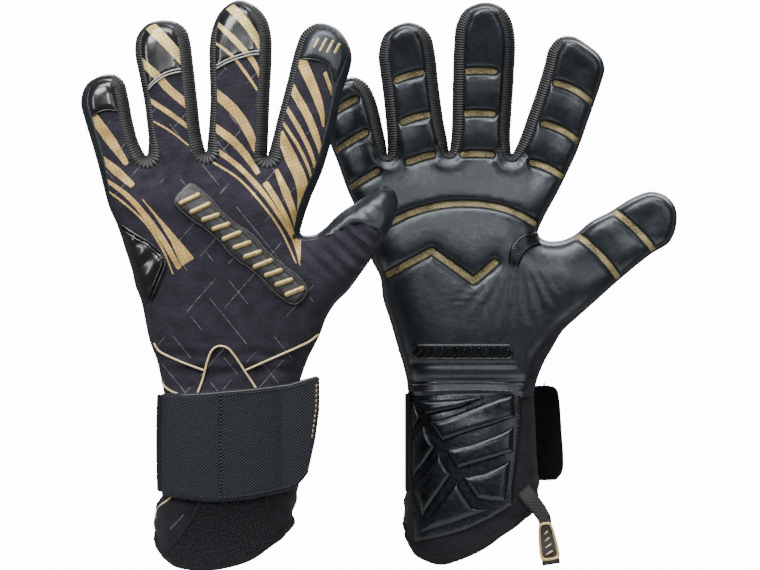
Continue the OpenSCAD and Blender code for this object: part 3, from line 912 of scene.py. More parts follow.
# leather fingertip caps: the curve of each lower edge, from the little finger's side
CAPS = {"little": [(-80, 128), (-70.5, 133), (-67, 135.5), (-62.5, 137), (-56, 136.5), (-44, 136)],
        "ring": [(-52, 140), (-44, 145), (-38.5, 151), (-32.5, 155), (-24.5, 157), (-14, 158)],
        "middle": [(-16, 155), (-7.5, 158.5), (-2, 161.5), (5, 164), (11.3, 165.5), (24, 165)],
        "index": [(26, 162.8), (33.5, 162.8), (40.3, 162.2), (46.5, 160.5), (49.5, 156),
                  (50.5, 149), (51, 140), (70, 130)],
        "left_thumb": [(30, 73), (36, 73.8), (43.2, 74.1), (50.6, 75.7), (56.5, 79), (63, 80.6),
                       (70, 78.5), (74.8, 75.7), (84, 66)],
        "right_thumb": [(66, 99), (72, 91), (80, 80), (87, 71), (93, 60)]}
CAP_TOP = {"left_thumb": [(95, 80), (90, 110), (55, 104), (38, 86), (33, 78)],
           "right_thumb": [(120, 60), (120, 110)]}
# the leather patch on the little finger's side of the back
PATCH = [(-68, 84), (-57, 80.5), (-49, 75), (-41, 70), (-34.5, 64.5), (-33.5, 60), (-36.5, 53),
         (-41, 42), (-44, 36), (-62, 30)]


def cap_loop(finger):
    """a cap's lower edge, and a loop round all that lies above it"""
    low, _ = spline(CAPS[finger], 1.2)
    top = CAP_TOP.get(finger, [(low[-1][0] + 8, 215), (low[0][0] - 8, 215)])
    return low, np.vstack([low, top])


def stripe_loops(glove):
    """the outlines of the gold stripes, run out over the rim where they end beside it"""
    loops = []
    for points, widths in STRIPES:
        run = np.array(points, float)
        ends = distance(run[[0, -1]], glove.outline, closed=True)
        head, tail = unit(np.array([run[0] - run[1], run[-1] - run[-2]]))
        if ends[0] < 6.5:
            run[0] += head * 4
        if ends[1] < 6.5 and widths[-1] > 1.4:
            run[-1] += tail * 4
        loops.append(resample(ribbon(run, widths), 1.3))
    return loops


def cloth_folds(glove, x, z, s, u, share):
    """the waves in the backhand's cloth; s and u lie along and across the thumb, share is its part in them"""
    folds = np.sin(s * 0.95 + 0.9 * rumple(x, z, 8, 2) + 0.12 * u) * share * (1 - smooth(18, 26, s))
    cloth = 0.7 * rumple(x, z, 15, 4) + 0.4 * rumple(x, z, 6, 5) + 1.25 * folds
    cloth += 0.6 * np.exp(-((z - 8) / 11) ** 2) * np.sin(z * 0.75 + 2.6 * rumple(x, z, 18, 8))
    for cx, cz in CROTCH[glove.side]:
        far = np.hypot(x - cx, z - cz + 6)
        cloth += 0.45 * np.sin(far * 0.75) * np.exp(-((far - 9) / 6) ** 2)
    return cloth


def back_panels(glove):
    """printed fabric on the backs of the hand and fingers, leather caps and a leather side patch"""
    border = glove.border(1, 1.2)
    stripes = stripe_loops(glove)
    other = "right_thumb" if glove.side == "left" else "left_thumb"
    caps = {finger: cap_loop(finger) for finger in CAPS if finger != other}
    patch = resample(np.array(PATCH, float), 1.2)
    lines = [resample(low, 1.2, closed=False) for low, _ in caps.values()]
    places, faces = triangulate(stripes + [patch], lines + glove.cuts(), border, 1.7, 0.9)
    x, z = places[:, 0], places[:, 1]
    gap = distance(places, glove.outline, closed=True)
    edge = distance(places, border, closed=True)
    share, s = glove.thumb_share(x, z)
    _, u = glove.along_finger("thumb", x, z)
    cap_edge = np.full(len(places), FAR)
    thick = np.zeros(len(places))
    for finger, (low, loop) in caps.items():
        thick[inside(places, loop)] = 0.75 if finger in ("ring", "middle") else 1.2
        cap_edge = np.minimum(cap_edge, distance(places, low))
    mid = places[faces].mean(axis=1)
    within = inside(mid, border)
    region = glove.region_of(mid)
    gold = in_any(mid, stripes)
    capped = in_any(mid, [loop for _, loop in caps.values()])
    patched = inside(mid, patch)
    skin = glove.depth(x, z) - glove.height(x, z, gap)
    cloth_depth = skin - cloth_folds(glove, x, z, s, u, share) * smooth(0, 6, gap)
    cap_rise = 0.45 + thick * rounded(cap_edge, 1.8)
    cap_rise += 0.9 * share * np.sin(s * 0.42 + 0.5 + 0.1 * u) * smooth(0, 5, cap_edge)
    cap_depth = skin - cap_rise * smooth(-0.5, 2, edge)
    patch_rise = 0.3 + 1.0 * smooth(0, 3, distance(places, patch, closed=True))
    patch_depth = skin - patch_rise * smooth(-0.5, 2, edge) \
        - 0.5 * np.sin((x - z) * 0.5) * smooth(0, 5, edge)
    for key in sorted(set(region[within])):
        here = within & (region == key)
        foil = gold & key.startswith(("ring", "middle"))
        smooth_cap = M["latex" if key.startswith(("index", "thumb", "hand")) else "leather"]
        for tail, keep, depth, mats, prints, slot in (
                ("_back", ~capped & ~patched, cloth_depth, [M["fabric"], M["gold_print"]], gold,
                 "printed_fabric"),
                ("_cap", capped, cap_depth, [smooth_cap, M["gold_foil"]], foil, "leather_trim"),
                ("_side_patch", patched, patch_depth, [M["leather"], M["gold_foil"]], foil,
                 "leather_trim")):
            keep = here & keep
            if not keep.any():
                continue
            obj = make(glove, key + tail, *part_mesh(np.stack([x, z, depth], axis=1), faces, keep), mats,
                       prints[keep].astype(int), flip=glove.sign < 0, slot=slot)
            glove.bind(obj, key)
            if tail == "_back":
                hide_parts(*finger_nodes(glove, key, False))


# ---------------------------------------------------------------- rims and gussets
EDGE_OF = {"little_side": "little", "little_tip": "little", "ring_tip": "ring", "middle_tip": "middle",
           "index_tip": "index", "index_side": "index", "thumb_side": "thumb", "thumb_tip": "thumb",
           "thumb_low": "thumb"}
RIM_SLOTS = {"rib": "rib_gusset", "leather": "leather_trim", "latex": "palm_latex",
             "fabric": "printed_fabric"}


def rim_region(glove, i):
    """the region that the outline's point i belongs to"""
    label = glove.label[i]
    finger = EDGE_OF.get(label)
    if label.startswith("gusset"):
        k = "abc".index(label[-1])
        finger = FINGERS[k if i < glove.crotch_at[k] else k + 1]
    if finger is None:
        return "hand"
    s = float(glove.along_finger(finger, *glove.line[i])[0])
    if s < FORM[glove.side][finger][5]:
        return "hand"
    return finger + ("_lower" if s < glove.split(finger) else "_upper")


def rim_kind(label, x, z):
    if label.startswith("gusset"):
        return "rib"
    if label == "little_tip":
        return "leather"
    return "fabric" if z < (30 if x > 0 else 3) else "latex"


def rims(glove):
    """the edge of every finger: ribbed knit between the fingers, latex or leather elsewhere"""
    n = len(glove.line)
    keys = [(rim_region(glove, i), rim_kind(glove.label[i], *glove.line[i])) for i in range(n)]
    ribbed = np.array([kind == "rib" for _, kind in keys])
    soft = np.convolve(np.concatenate([ribbed[-6:], ribbed, ribbed[:6]]).astype(float),
                       np.ones(13) / 13, mode="valid")
    turns = np.radians(np.linspace(-90, 90, 19))
    out = np.cos(turns)
    sunk = np.where(np.abs(turns) > math.radians(85), 0.8, 0.0)
    rows = []
    uvs = []
    for i in range(n):
        wide = np.where(turns > 0, glove.rim[0][i], glove.rim[1][i]) + 0.9
        inset = wide * (1 - out)
        at = glove.line[i] + glove.inward[i] * inset[:, None]
        rise = glove.height(at[:, 0], at[:, 1], inset)
        rise = rise - glove.tuck(at[:, 1]) * np.maximum(np.sin(turns), 0)
        bulge = 1.0 * soft[i] * np.sin(np.pi * np.clip(inset / wide, 0, 1)) ** 0.8
        rib = soft[i] * 0.3 * (abs(math.sin(math.pi * glove.along[i] / RIB)) ** 0.8 - 0.5)
        at = at - glove.inward[i] * ((rib + 0.25 * bulge) * out)[:, None]
        rise = rise + bulge + rib * np.abs(np.sin(turns))
        depth = glove.depth(at[:, 0], at[:, 1]) + np.sign(turns) * rise
        rows.append(np.stack([at[:, 0], at[:, 1], depth - np.sign(turns) * sunk], axis=1))
        uvs.append(np.stack([np.full(len(turns), glove.along[i]), run_of(rows[-1])], axis=1))
    rows, uvs = np.array(rows), np.array(uvs)
    starts = [i for i in range(n) if i == 0 or keys[i] != keys[i - 1]]
    stretches = {}
    for lo, hi in zip(starts, starts[1:] + [n]):
        stretches.setdefault(keys[lo], []).append(range(lo, min(hi + 1, n)))
    for (key, kind), runs in sorted(stretches.items()):
        faces = []
        first = 0
        for run in runs:
            faces += [tuple(first + k for k in f) for f in grid_faces(len(run), len(turns))]
            first += len(run) * len(turns)
        picked = [i for run in runs for i in run]
        obj = make(glove, f"{key}_{'gusset' if kind == 'rib' else kind + '_edge'}",
                   rows[picked].reshape(-1, 3), faces, [M[kind]], uvs=uvs[picked].reshape(-1, 2),
                   flip=glove.sign < 0, slot=RIM_SLOTS[kind])
        glove.bind(obj, key)


# ---------------------------------------------------------------- surfaces that trims lie on
HEM = {
    "left": [(-60, -66), (-42, -70), (-38.5, -76), (-36, -83.5), (-30, -89), (-18, -91.5), (-6.5, -91),
             (9, -87), (20, -80), (27, -73.5), (34, -64), (60, -52)],
    "right": [(-60, -62), (-40, -66), (-33.5, -72), (-31.5, -78), (-28, -84.5), (-21.5, -88.5), (-15, -90),
              (-8, -88.5), (4, -84), (16, -76), (28, -66), (36, -57), (60, -45)]}
# the cuff: height, left edge, right edge, half depth
CUFF = {
    "left": [(4, -31.6, 31.6, 12.2), (-4, -32, 31.8, 14.6), (-10, -32.4, 32, 16.4),
             (-16, -32.8, 32.4, 18.4), (-26, -33.2, 32.8, 19.8), (-45, -33.6, 33.6, 20.6),
             (-54, -34.4, 33.2, 20.8), (-61, -37.6, 31.4, 20.8), (-72, -38.4, 30.2, 20.6),
             (-92, -37, 28, 20)],
    "right": [(4, -30.4, 31.6, 12.2), (-4, -31, 32, 14.6), (-10, -31.4, 32.4, 16.4),
              (-16, -31.8, 32.8, 18.4), (-26, -32, 33.2, 19.8), (-45, -32.2, 34.6, 20.6),
              (-54, -32.4, 35, 20.8), (-61, -32.8, 33.5, 20.8), (-72, -33, 31, 20.6),
              (-92, -32, 29, 20)]}
CUFF_CURVE = {side: spline(rows, 1.5)[0][::-1] for side, rows in CUFF.items()}


def hem_at(side, x):
    line, _ = spline(HEM[side], 2)
    return np.interp(x, line[:, 0], line[:, 1])


def cuff_row(side, z):
    curve = CUFF_CURVE[side]
    return [np.interp(z, curve[:, 0], curve[:, k]) for k in (1, 2, 3)]


def cuff_at(side, angle, z):
    """a point on the cuff; angle 0 is the thumb's side, 90 the palm, 180 the little finger's side"""
    left, right, deep = cuff_row(side, z)
    c, s = np.cos(np.radians(angle)), np.sin(np.radians(angle))
    x = (left + right) / 2 + (right - left) / 2 * np.sign(c) * np.abs(c) ** (2 / SQUARE)
    return np.stack([x, np.broadcast_to(z, np.shape(x)),
                     deep * np.sign(s) * np.abs(s) ** (2 / SQUARE)], axis=-1)


def cuff_depth(side, x, z):
    left, right, deep = cuff_row(side, z)
    t = np.clip(np.abs(x - (left + right) / 2) / ((right - left) / 2), 0, 0.995)
    return deep * (1 - t ** SQUARE) ** (1 / SQUARE)


def hand_depth(glove, x, z, front):
    sign = 1 if front else -1
    return glove.depth(x, z) + sign * glove.height(x, z)


def on_hand(glove, line, lift, front=False):
    """a line laid on the back of the hand, or on its front, with its points lift above it"""
    depth = hand_depth(glove, line[:, 0], line[:, 1], front)
    return np.column_stack([line, depth + (lift if front else -lift)])


def front_of_cuff(glove, x, z):
    return cuff_depth(glove.side, x, z)


def back_of_cuff(glove, x, z):
    return -cuff_depth(glove.side, x, z)


def relief(glove, name, loop, base, top, round_r, mat, front, slot, surface=None, step=0.8):
    """a raised shape on the glove: its outline, its edge's and its middle's height, and its rounding"""
    loop = resample(np.array(loop, float), step)
    out = outward(loop)
    rings = [loop + out * way * reach * round_r for reach in (0.12, 0.35, 0.7) for way in (-1, 1)]
    extra = np.vstack([ring[inside(ring, loop)] for ring in rings])
    extra = extra[distance(extra, loop, closed=True) > 0.08 * round_r]
    places, faces = triangulate([], [[q] for q in extra], loop, step * 1.5, step * 0.7)
    keep = inside(places[faces].mean(axis=1), loop)
    x, z = places[:, 0], places[:, 1]
    d = distance(places, loop, closed=True)
    lift = np.where(d < 1e-6, base - 0.25, base + (top - base) * rounded(d, round_r))
    under = surface(glove, x, z) if surface else hand_depth(glove, x, z, front)
    shape = np.stack([x, z, under + (1 if front else -1) * lift], axis=1)
    return make(glove, name, *part_mesh(shape, faces, keep), [mat], flip=(glove.side == "left") == front,
                slot=slot)


def bars(glove, name, segments, radius, mat, slot):
    """many short round dashes in one piece, such as stitches"""
    verts, faces, uvs = [], [], []
    sides = 6
    turn = np.linspace(0, 2 * math.pi, sides, endpoint=False)
    profile = ((0, 0.35), (0.12, 0.9), (0.5, 1), (0.88, 0.9), (1, 0.35))
    for a, b in segments:
        a, b = np.array(a, float), np.array(b, float)
        way = (b - a) / max(np.linalg.norm(b - a), 1e-9)
        across = np.cross(way, (0, 0, 1.0))
        across /= max(np.linalg.norm(across), 1e-9)
        over = np.cross(across, way)
        faces += [tuple(len(verts) + i for i in f) for f in tube_faces(len(profile), sides)]
        for t, r in profile:
            for k in turn:
                verts.append(a + (b - a) * t + radius * r * (math.cos(k) * across + math.sin(k) * over))
                uvs.append((t * 3, k))
    return make(glove, name, np.array(verts), faces, [mat], uvs=np.array(uvs), flip=glove.sign < 0,
                slot=slot)


def stitches(line, pitch, length):
    """dashes along a line of (across, up, depth) points"""
    line = np.array(line, float)
    run = run_of(line)

    def at(d):
        return np.array([np.interp(d, run, line[:, k]) for k in range(3)])

    return [(at(d), at(min(d + length, run[-1]))) for d in np.arange(0, run[-1] - 0.5, pitch)]


# ---------------------------------------------------------------- cuff
def push_out(ring, amount):
    """moves the points of a ring outwards, seen from above"""
    flat = ring[:, [0, 2]]
    ring[:, [0, 2]] = flat + unit(flat) * amount


def loft(glove, name, rings, girth, mat, inward=False, heights=None):
    """a piece of cloth through closed rings of points"""
    rings = np.array(rings)
    rows, cols = rings.shape[:2]
    heights = rings[:, :, 1] if heights is None else heights
    uvs = np.stack([np.tile(girth, (rows, 1)), heights], axis=2).reshape(-1, 2)
    return make(glove, name, rings.reshape(-1, 3), grid_faces(rows, cols, wrap=True), [mat], uvs=uvs,
                flip=(glove.sign > 0) != inward, slot="sleeve_knit")


# the hem's rings, from its upper edge round to the inside: height above the hem, and how far out
HEM_BAND = [(4.4, -0.1), (4.1, 0.55), (2.0, 0.75), (0.3, 0.65), (-0.6, 0.0), (-0.6, -1.6), (0.4, -2.4),
            (2.5, -2.4)]
SLEEVE_TOP = 3.5      # height of the cuff's upper edge


def sleeve(glove):
    """the knit cuff, its hem and its lining"""
    side = glove.side
    cols = 132
    angle = np.linspace(0, 360, cols, endpoint=False)
    round_by = [(math.cos(a), math.sin(a)) for a in np.radians(angle)]
    hem = hem_at(side, cuff_at(side, angle, -75.0)[:, 0])
    girth = run_of(cuff_at(side, angle, -40.0)[:, [0, 2]])
    places = []
    for t in np.linspace(0, 1, 46):
        z = SLEEVE_TOP + (hem - SLEEVE_TOP) * t
        ring = np.array([cuff_at(side, a, b) for a, b in zip(angle, z)])
        sag = 0.45 * np.array([noise.noise(Vector((c * 2.2, s * 2.2, b / 11)))
                               for (c, s), b in zip(round_by, z)])
        fold = 0.55 * np.sin(z * 0.62 + 2 * np.sin(np.radians(angle) * 2)) * smooth(0.62, 0.8, t)
        fold *= 0.4 + 0.6 * np.abs(np.cos(np.radians(angle)))
        push_out(ring, (sag + fold)[:, None])
        places.append(ring)
    places = np.array(places)
    obj = loft(glove, "cuff_cloth", places, girth, M["cuff_print"])
    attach(obj, glove.name("cuff"))
    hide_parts(glove.name("wrist_sleeve"))
    band = []
    for lift, over in HEM_BAND:
        at = np.clip(1 - max(lift, 0) / (SLEEVE_TOP - hem), 0, 1) * (len(places) - 1)
        lo = np.minimum(at.astype(int), len(places) - 2)
        part = (at - lo)[:, None]
        column = np.arange(cols)
        ring = places[lo, column] * (1 - part) + places[lo + 1, column] * part
        ring[:, 1] += min(lift, 0)
        push_out(ring, over)
        band.append(ring)
    rows = np.tile(np.arange(len(band))[:, None] * 1.6, (1, cols))
    obj = loft(glove, "cuff_hem", band, girth, M["hem"], heights=rows)
    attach(obj, glove.name("cuff"))
    inner = []
    for t in np.linspace(0, 1, 14):
        ring = places[-1].copy()
        ring[:, 1] += 1 + (58 - ring[:, 1]) * t
        squeeze = 0.9 - 0.12 * t
        flatten = (1 - 0.45 * float(smooth(0.5, 0.75, t))) * (1 - 0.96 * float(smooth(0.9, 1, t)))
        ring[:, [0, 2]] *= [squeeze, squeeze * flatten]
        inner.append(ring)
    obj = loft(glove, "lining", inner, girth, M["lining"], inward=True)
    glove.bind(obj, "hand")


# ---------------------------------------------------------------- strap
# the outline of the strap's end: (up, across), from its upper corner down
TAB_EDGE = {"left": [(5, 42.4), (3.5, 44), (-12, 43.6), (-27, 41.6), (-37, 39.4), (-43, 38.2),
                     (-47, 35), (-51, 31.5)],
            "right": [(-0.8, 38), (-1.6, 42.5), (-4.5, 45), (-20, 46), (-40, 47.4), (-44.5, 46.8),
                      (-47.8, 43.5), (-48, 38)]}
# where the strap is sewn to the cuff, its inmost line there, and where its woven part begins
STRAP_ROOT = {"left": [(-31, 10.6), (-34, 7.9)], "right": [(-30, 9), (-31.2, 5.5)]}
STRAP_INNER = {"left": -36, "right": -31.4}
STRAP_TURN = {"left": -33, "right": -28.5}


def strap_path(side):
    """the strap's line, seen from above, round the little finger's side to the back and off the cuff"""
    angle = np.radians(np.linspace(172, 325, 62))
    c, s = np.cos(angle), np.sin(angle)
    x = (36.0 if side == "left" else 32.6) * np.sign(c) * np.abs(c) ** 0.8
    path = np.stack([x, 21.3 * np.sign(s) * np.abs(s) ** 0.8], axis=1)
    path = path[:np.argmax(path[:, 0] > 25)]
    bend, _ = spline([path[-2], path[-1], (35, -17.9), (48, -16.2)], 1.2)
    return resample(np.vstack([path[:-2], bend]), 0.9, closed=False)


def strap_top(x, side):
    if side == "left":
        return np.interp(x, [-34, -16, 9, 29, 42, 45], [-4.5, -4, -2, 0.5, 4.5, 4.5])
    return np.interp(x, [-34, -16, 9, 29, 42, 48], [-4.5, -4, -2.8, -1.4, -1, -1.2])


def strap_low(x):
    return np.interp(x, [-38, -33, -16, -5, 9, 32, 48], [-53, -54.3, -57, -57.4, -56, -51, -47])


def slab(glove, name, path, top, low, thick, mat, drape=0.0):
    """a flat woven band along a path seen from above; its outer face is on the far side"""
    out, _ = normals(path)
    if np.sum(out * path) < 0:
        out = -out
    v = np.linspace(0, 1, 26)
    loop = [(t, 1.0) for t in v] + [(1.012, 0.5)] + [(t, 0.0) for t in v[::-1]] + [(-0.012, 0.5)]
    places, uvs = [], []
    for i, (q, run) in enumerate(zip(path, run_of(path))):
        for t, k in loop:
            z = top[i] - (top[i] - low[i]) * t
            off = thick * k + drape * math.sin(math.pi * min(max(t, 0), 1))
            places.append((q[0] + out[i, 0] * off, z, q[1] + out[i, 1] * off))
            uvs.append((run, z))
    return make(glove, name, np.array(places), tube_faces(len(path), len(loop)), [mat],
                uvs=np.array(uvs), flip=glove.sign < 0, slot="strap_elastic")


def cut_tab(side, tab):
    """the strap's end, cut along its outline: its line, and its upper and lower edge"""
    edge_z, edge_x = np.array(TAB_EDGE[side])[::-1].T
    top, low = strap_top(tab[:, 0], side), strap_low(tab[:, 0])
    for i, x in enumerate(tab[:, 0]):
        if x <= 30:
            continue
        reach = np.linspace(top[i], low[i], 400)
        ok = reach[np.interp(reach, edge_z, edge_x, left=-FAR, right=-FAR) >= x - 0.02]
        if not len(ok):
            return tab[:i], top[:i], low[:i]
        top[i], low[i] = min(top[i], ok.max()), max(low[i], ok.min())
    return tab, top, low


def strap(glove):
    """the strap's sewn base, woven band and hooked end, with their stitches"""
    side = glove.side
    path = strap_path(side)
    seam = int(np.argmax(path[:, 0] > -6))
    turn = int(np.argmax((path[:, 0] > STRAP_TURN[side]) & (path[:, 1] < 0)))
    joint = [glove.world(-36.8, -25, 2), glove.world(-36.8, -25, -9)]
    peel = [glove.world(-6, -25, -26), glove.world(5, -25, -26)]
    base = np.maximum(path[:turn + 10], [STRAP_INNER[side], -FAR])
    base = resample(np.vstack([STRAP_ROOT[side], base]), 0.9, closed=False)
    obj = slab(glove, "strap_base", base, strap_top(base[:, 0], side) - 0.6,
               strap_low(base[:, 0]) + 1.5, 1.1, M["hem"], 0.5 if side == "left" else 0.0)
    glove.name("cuff")
    glove.name("strap")
    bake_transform(obj)
    band = path[turn:seam + 1]
    band_top = strap_top(band[:, 0], side)
    obj = slab(glove, "strap_band_cloth", band + [0, -1.1], band_top, strap_low(band[:, 0]), STRAP_T,
               M["elastic"], 0.5)
    glove.name("cuff")
    glove.name("strap")
    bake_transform(obj)
    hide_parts(glove.name("strap_band"))
    tab, top, low = cut_tab(side, path[seam:])
    cloth = tab + [0, -1.1]
    obj = slab(glove, "strap_tab_cloth", cloth, top, low, STRAP_T, M["elastic"], 0.5)
    glove.name("strap")
    glove.name("strap_end")
    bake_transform(obj)
    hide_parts(glove.name("strap_tab"))
    hooked = tab[:, 0] > 20
    obj = slab(glove, "hook_tape", tab[hooked] + [0, 0.2], top[hooked] - 0.8, low[hooked] + 0.8, 1.0,
               M["hook"])
    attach(obj, glove.name("strap_end"))
    deep = -1.1 - STRAP_T - 0.35
    line = np.column_stack([band[:, 0], band_top - 0.4, band[:, 1] + deep + 0.5])
    obj = tube(glove, "strap_band_edge", line, 0.36, M["thread"], "strap_elastic", 6)
    glove.name("cuff")
    glove.name("strap")
    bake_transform(obj)
    line = np.column_stack([tab[:, 0], top - 0.3, tab[:, 1] + deep + 0.5])
    obj = tube(glove, "strap_tab_edge", line, 0.36, M["thread"], "strap_elastic", 6)
    glove.name("strap")
    glove.name("strap_end")
    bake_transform(obj)
    x, p = path[seam]
    p += deep - 0.25
    rows = [((x - 0.55, z, p), (x + 0.55, z + 0.5, p))
            for z in np.arange(strap_low(x) + 1.5, strap_top(x, side) - 1, 1.75)]
    obj = bars(glove, "strap_seam_stitches", rows, 0.42, M["black_thread"], "strap_elastic")
    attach(obj, glove.name("strap"))
    rows = []
    for height in (top - 1.6, low + 1.6):
        line = np.column_stack([cloth[:, 0], height, cloth[:, 1] - STRAP_T - 0.55])
        rows += stitches(line[2:-3], 1.9, 1.2)
    obj = bars(glove, "strap_tab_stitches", rows, 0.24, M["black_thread"], "strap_elastic")
    glove.name("strap")
    glove.name("strap_end")
    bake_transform(obj)
    rows = []
    edge_z, edge_x = np.array(TAB_EDGE[side])[::-1].T
    for z in np.arange(-26, 0, 2.5):
        x = float(np.interp(z, edge_z, edge_x)) - 1.5
        p = float(np.interp(x, tab[:, 0], tab[:, 1])) - STRAP_T - 1.5
        rows.append(((x, z, p), (x + 0.2, z + 1.8, p)))
    obj = bars(glove, "hook_edge_stitches", rows, 0.46, M["dull_gold"], "gold_trim")
    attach(obj, glove.name("strap_end"))


# ---------------------------------------------------------------- loop field, guard and wrist
PILE = [(-13, -52), (16.5, -52), (18.2, -60), (21.5, -69), (26, -77), (16.5, -82), (4, -90), (-8, -93),
        (-15, -93), (-22, -93), (-33, -88), (-30, -80.5), (-26, -75.5), (-20, -67), (-15.5, -58.5)]
BINDING = {"left": [(-13, -52), (-15.5, -58.5), (-20, -67), (-26, -75.5), (-34, -84)],
           "right": [(16.5, -52), (18.2, -60), (21.5, -69), (27, -79)]}


def loop_field(glove):
    """the fuzzy loop pile that the strap's hooks grip, between two bindings"""
    pile = [(x, max(z, float(hem_at(glove.side, x)) + 1.2)) for x, z in PILE]
    loop = resample(np.array(pile), 1.0)
    places, faces = triangulate([], [], loop, 1.0, 0.7)
    keep = inside(places[faces].mean(axis=1), loop)
    x, z = places[:, 0], places[:, 1]
    d = distance(places, loop, closed=True)
    tuft = 0.55 * rumple(x, z, 1.3, 2) + 0.35 * rumple(x, z, 3.1, 5)
    depth = back_of_cuff(glove, x, z) - (0.5 + 0.9 * smooth(0, 1.6, d) + tuft * smooth(0, 1.5, d))
    obj = make(glove, "loop_pile", *part_mesh(np.stack([x, z, depth], axis=1), faces, keep),
               [M["pile"]], flip=glove.sign < 0, slot="loop_pile")
    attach(obj, glove.name("cuff"))
    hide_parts(glove.name("loop_patch"))
    for name, points in BINDING.items():
        line, _ = spline(points, 0.6)
        line = line[line[:, 1] > hem_at(glove.side, line[:, 0]) + 0.8]
        loop = ribbon(line[::6], (2.6, 2.8, 3.4))
        obj = relief(glove, "binding_" + name, loop, 0.5, 1.9, 1.3, M["hem"], False,
                     "sleeve_knit", back_of_cuff)
        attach(obj, glove.name("cuff"))


GUARD = [(-30.8, -4.6), (-31.4, -26), (-31.3, -44), (-30, -60), (-27.6, -79), (-14, -76.5),
         (-2, -73), (10, -67.3), (21.3, -60.4), (21.9, -50), (23.8, -37), (26.2, -17), (25.8, -3.8)]
GUARD_PADS = [
    [(-27, -7.2), (-21.6, -7.8), (-8, -7.2), (8.6, -5.7), (-4.3, -11.6), (-21.9, -15.4)],
    [(-20.8, -18.2), (-14, -17), (-6.9, -14.6), (7.1, -9), (16, -6), (22.6, -4.6), (23, -16.2),
     (11, -20.6), (-1.8, -24.4), (-14.2, -28.8)],
    [(-12.3, -32.4), (0.8, -29.6), (15.4, -24.2), (22.3, -20.6), (21.9, -33.8), (13.5, -36.8),
     (3.3, -39.8), (-6.3, -42.8)],
    [(-4, -46.4), (7.1, -44.2), (14, -41.2), (20.6, -37.6), (19.4, -49), (17.8, -58.8), (10, -58.6),
     (3.3, -57.6)],
    [(-28.7, -7.8), (-24.9, -16.7), (-28.7, -22.6)],
    [(-23.2, -20.4), (-16.9, -31.1), (-22, -39), (-28.7, -46.8), (-28.7, -29)],
    [(-15.5, -34.2), (-8.9, -44.8), (-15, -54), (-23.6, -66.2), (-28.4, -53.4)],
    [(-6.6, -48.6), (1.4, -61.2), (5, -62.4), (10.6, -62.2), (3, -65.6), (-10, -70.3),
     (-24.4, -74.6), (-24.4, -71.4), (-15, -59.5)],
]


def guard(glove):
    """the moulded wrist guard: a flat plate with puffed pads"""
    plate = relief(glove, "guard_plate", GUARD, 0.5, 1.7, 1.1, M["guard"], True, "guard_latex",
                   front_of_cuff, 1.1)
    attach(plate, glove.name("cuff"))
    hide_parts(glove.name("wrist_guard"))
    for i, loop in enumerate(GUARD_PADS):
        pad = relief(glove, f"guard_pad_{i + 1}", loop, 1.6, 4.7, 3.2, M["guard"], True,
                     "guard_latex", front_of_cuff, 0.75)
        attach(pad, glove.name("cuff"))
    border = np.array(GUARD, float)
    line = resample(border + (border.mean(axis=0) - border) * 0.045, 1.0)
    line = np.column_stack([line, front_of_cuff(glove, line[:, 0], line[:, 1]) + 1.72])
    obj = bars(glove, "guard_stitches", stitches(line, 2.0, 1.2), 0.2, M["black_thread"], "guard_latex")
    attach(obj, glove.name("cuff"))


def wrist_seams(glove):
    """two piped seams across the palm side of the wrist, and a row of stitches between them"""
    for i, (height, r) in enumerate(((0.8, 1.1), (-3.2, 0.7))):
        x = np.linspace(-30, 27.5, 60)
        line = np.stack([x, height + 0.5 * np.cos(x / 11)], axis=1)
        obj = tube(glove, f"wrist_seam_{i + 1}", on_hand(glove, line, 0.75, True), r, M["leather"],
                   "leather_trim")
        glove.bind(obj, "hand")
    x = np.linspace(-29, 27, 60)
    line = on_hand(glove, np.stack([x, -1.2 + 0.5 * np.cos(x / 11)], axis=1), 0.82, True)
    obj = bars(glove, "wrist_stitches", stitches(line, 1.9, 1.1), 0.2, M["thread"], "leather_trim")
    glove.bind(obj, "hand")


# gold cord sewn over the back of the wrist
CORDS = [
    [(-38.5, 21), (-36, 17.3), (-30, 14), (-22, 10.6), (-13.5, 7.5)],
    [(43.5, 25.5), (39, 22), (34, 19.5), (20, 13.3), (7, 7.5)],
    [(-17, -4.5), (-14.2, 3), (-12, 11.5), (-10, 16.8), (-7.5, 19.2), (-4.5, 19.6), (-1.5, 18.4),
     (1.5, 15), (6.5, 7.5), (13.5, -3)],
    [(-35.3, 3.5), (-33.5, 0), (-30, -2.8), (-24.5, -4.8)],
]


def cords(glove):
    for i, points in enumerate(CORDS):
        line, _ = spline(points, 0.8)
        line = on_hand(glove, line[inside(line, glove.outline)], 0.75)
        obj = tube(glove, f"wrist_cord_{i + 1}", line, 0.55, M["piping"], "gold_trim")
        glove.bind(obj, "hand")
    z = np.linspace(-53, -66, 24)
    x = cuff_row(glove.side, z)[0] + 5.5 * (1 - smooth(-66, -52, z)[::-1]) ** 2 + 0.4
    line = np.stack([x, z, back_of_cuff(glove, x, z) - 0.3], axis=1)
    obj = tube(glove, "cuff_cord", line, 0.5, M["piping"], "gold_trim")
    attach(obj, glove.name("cuff"))


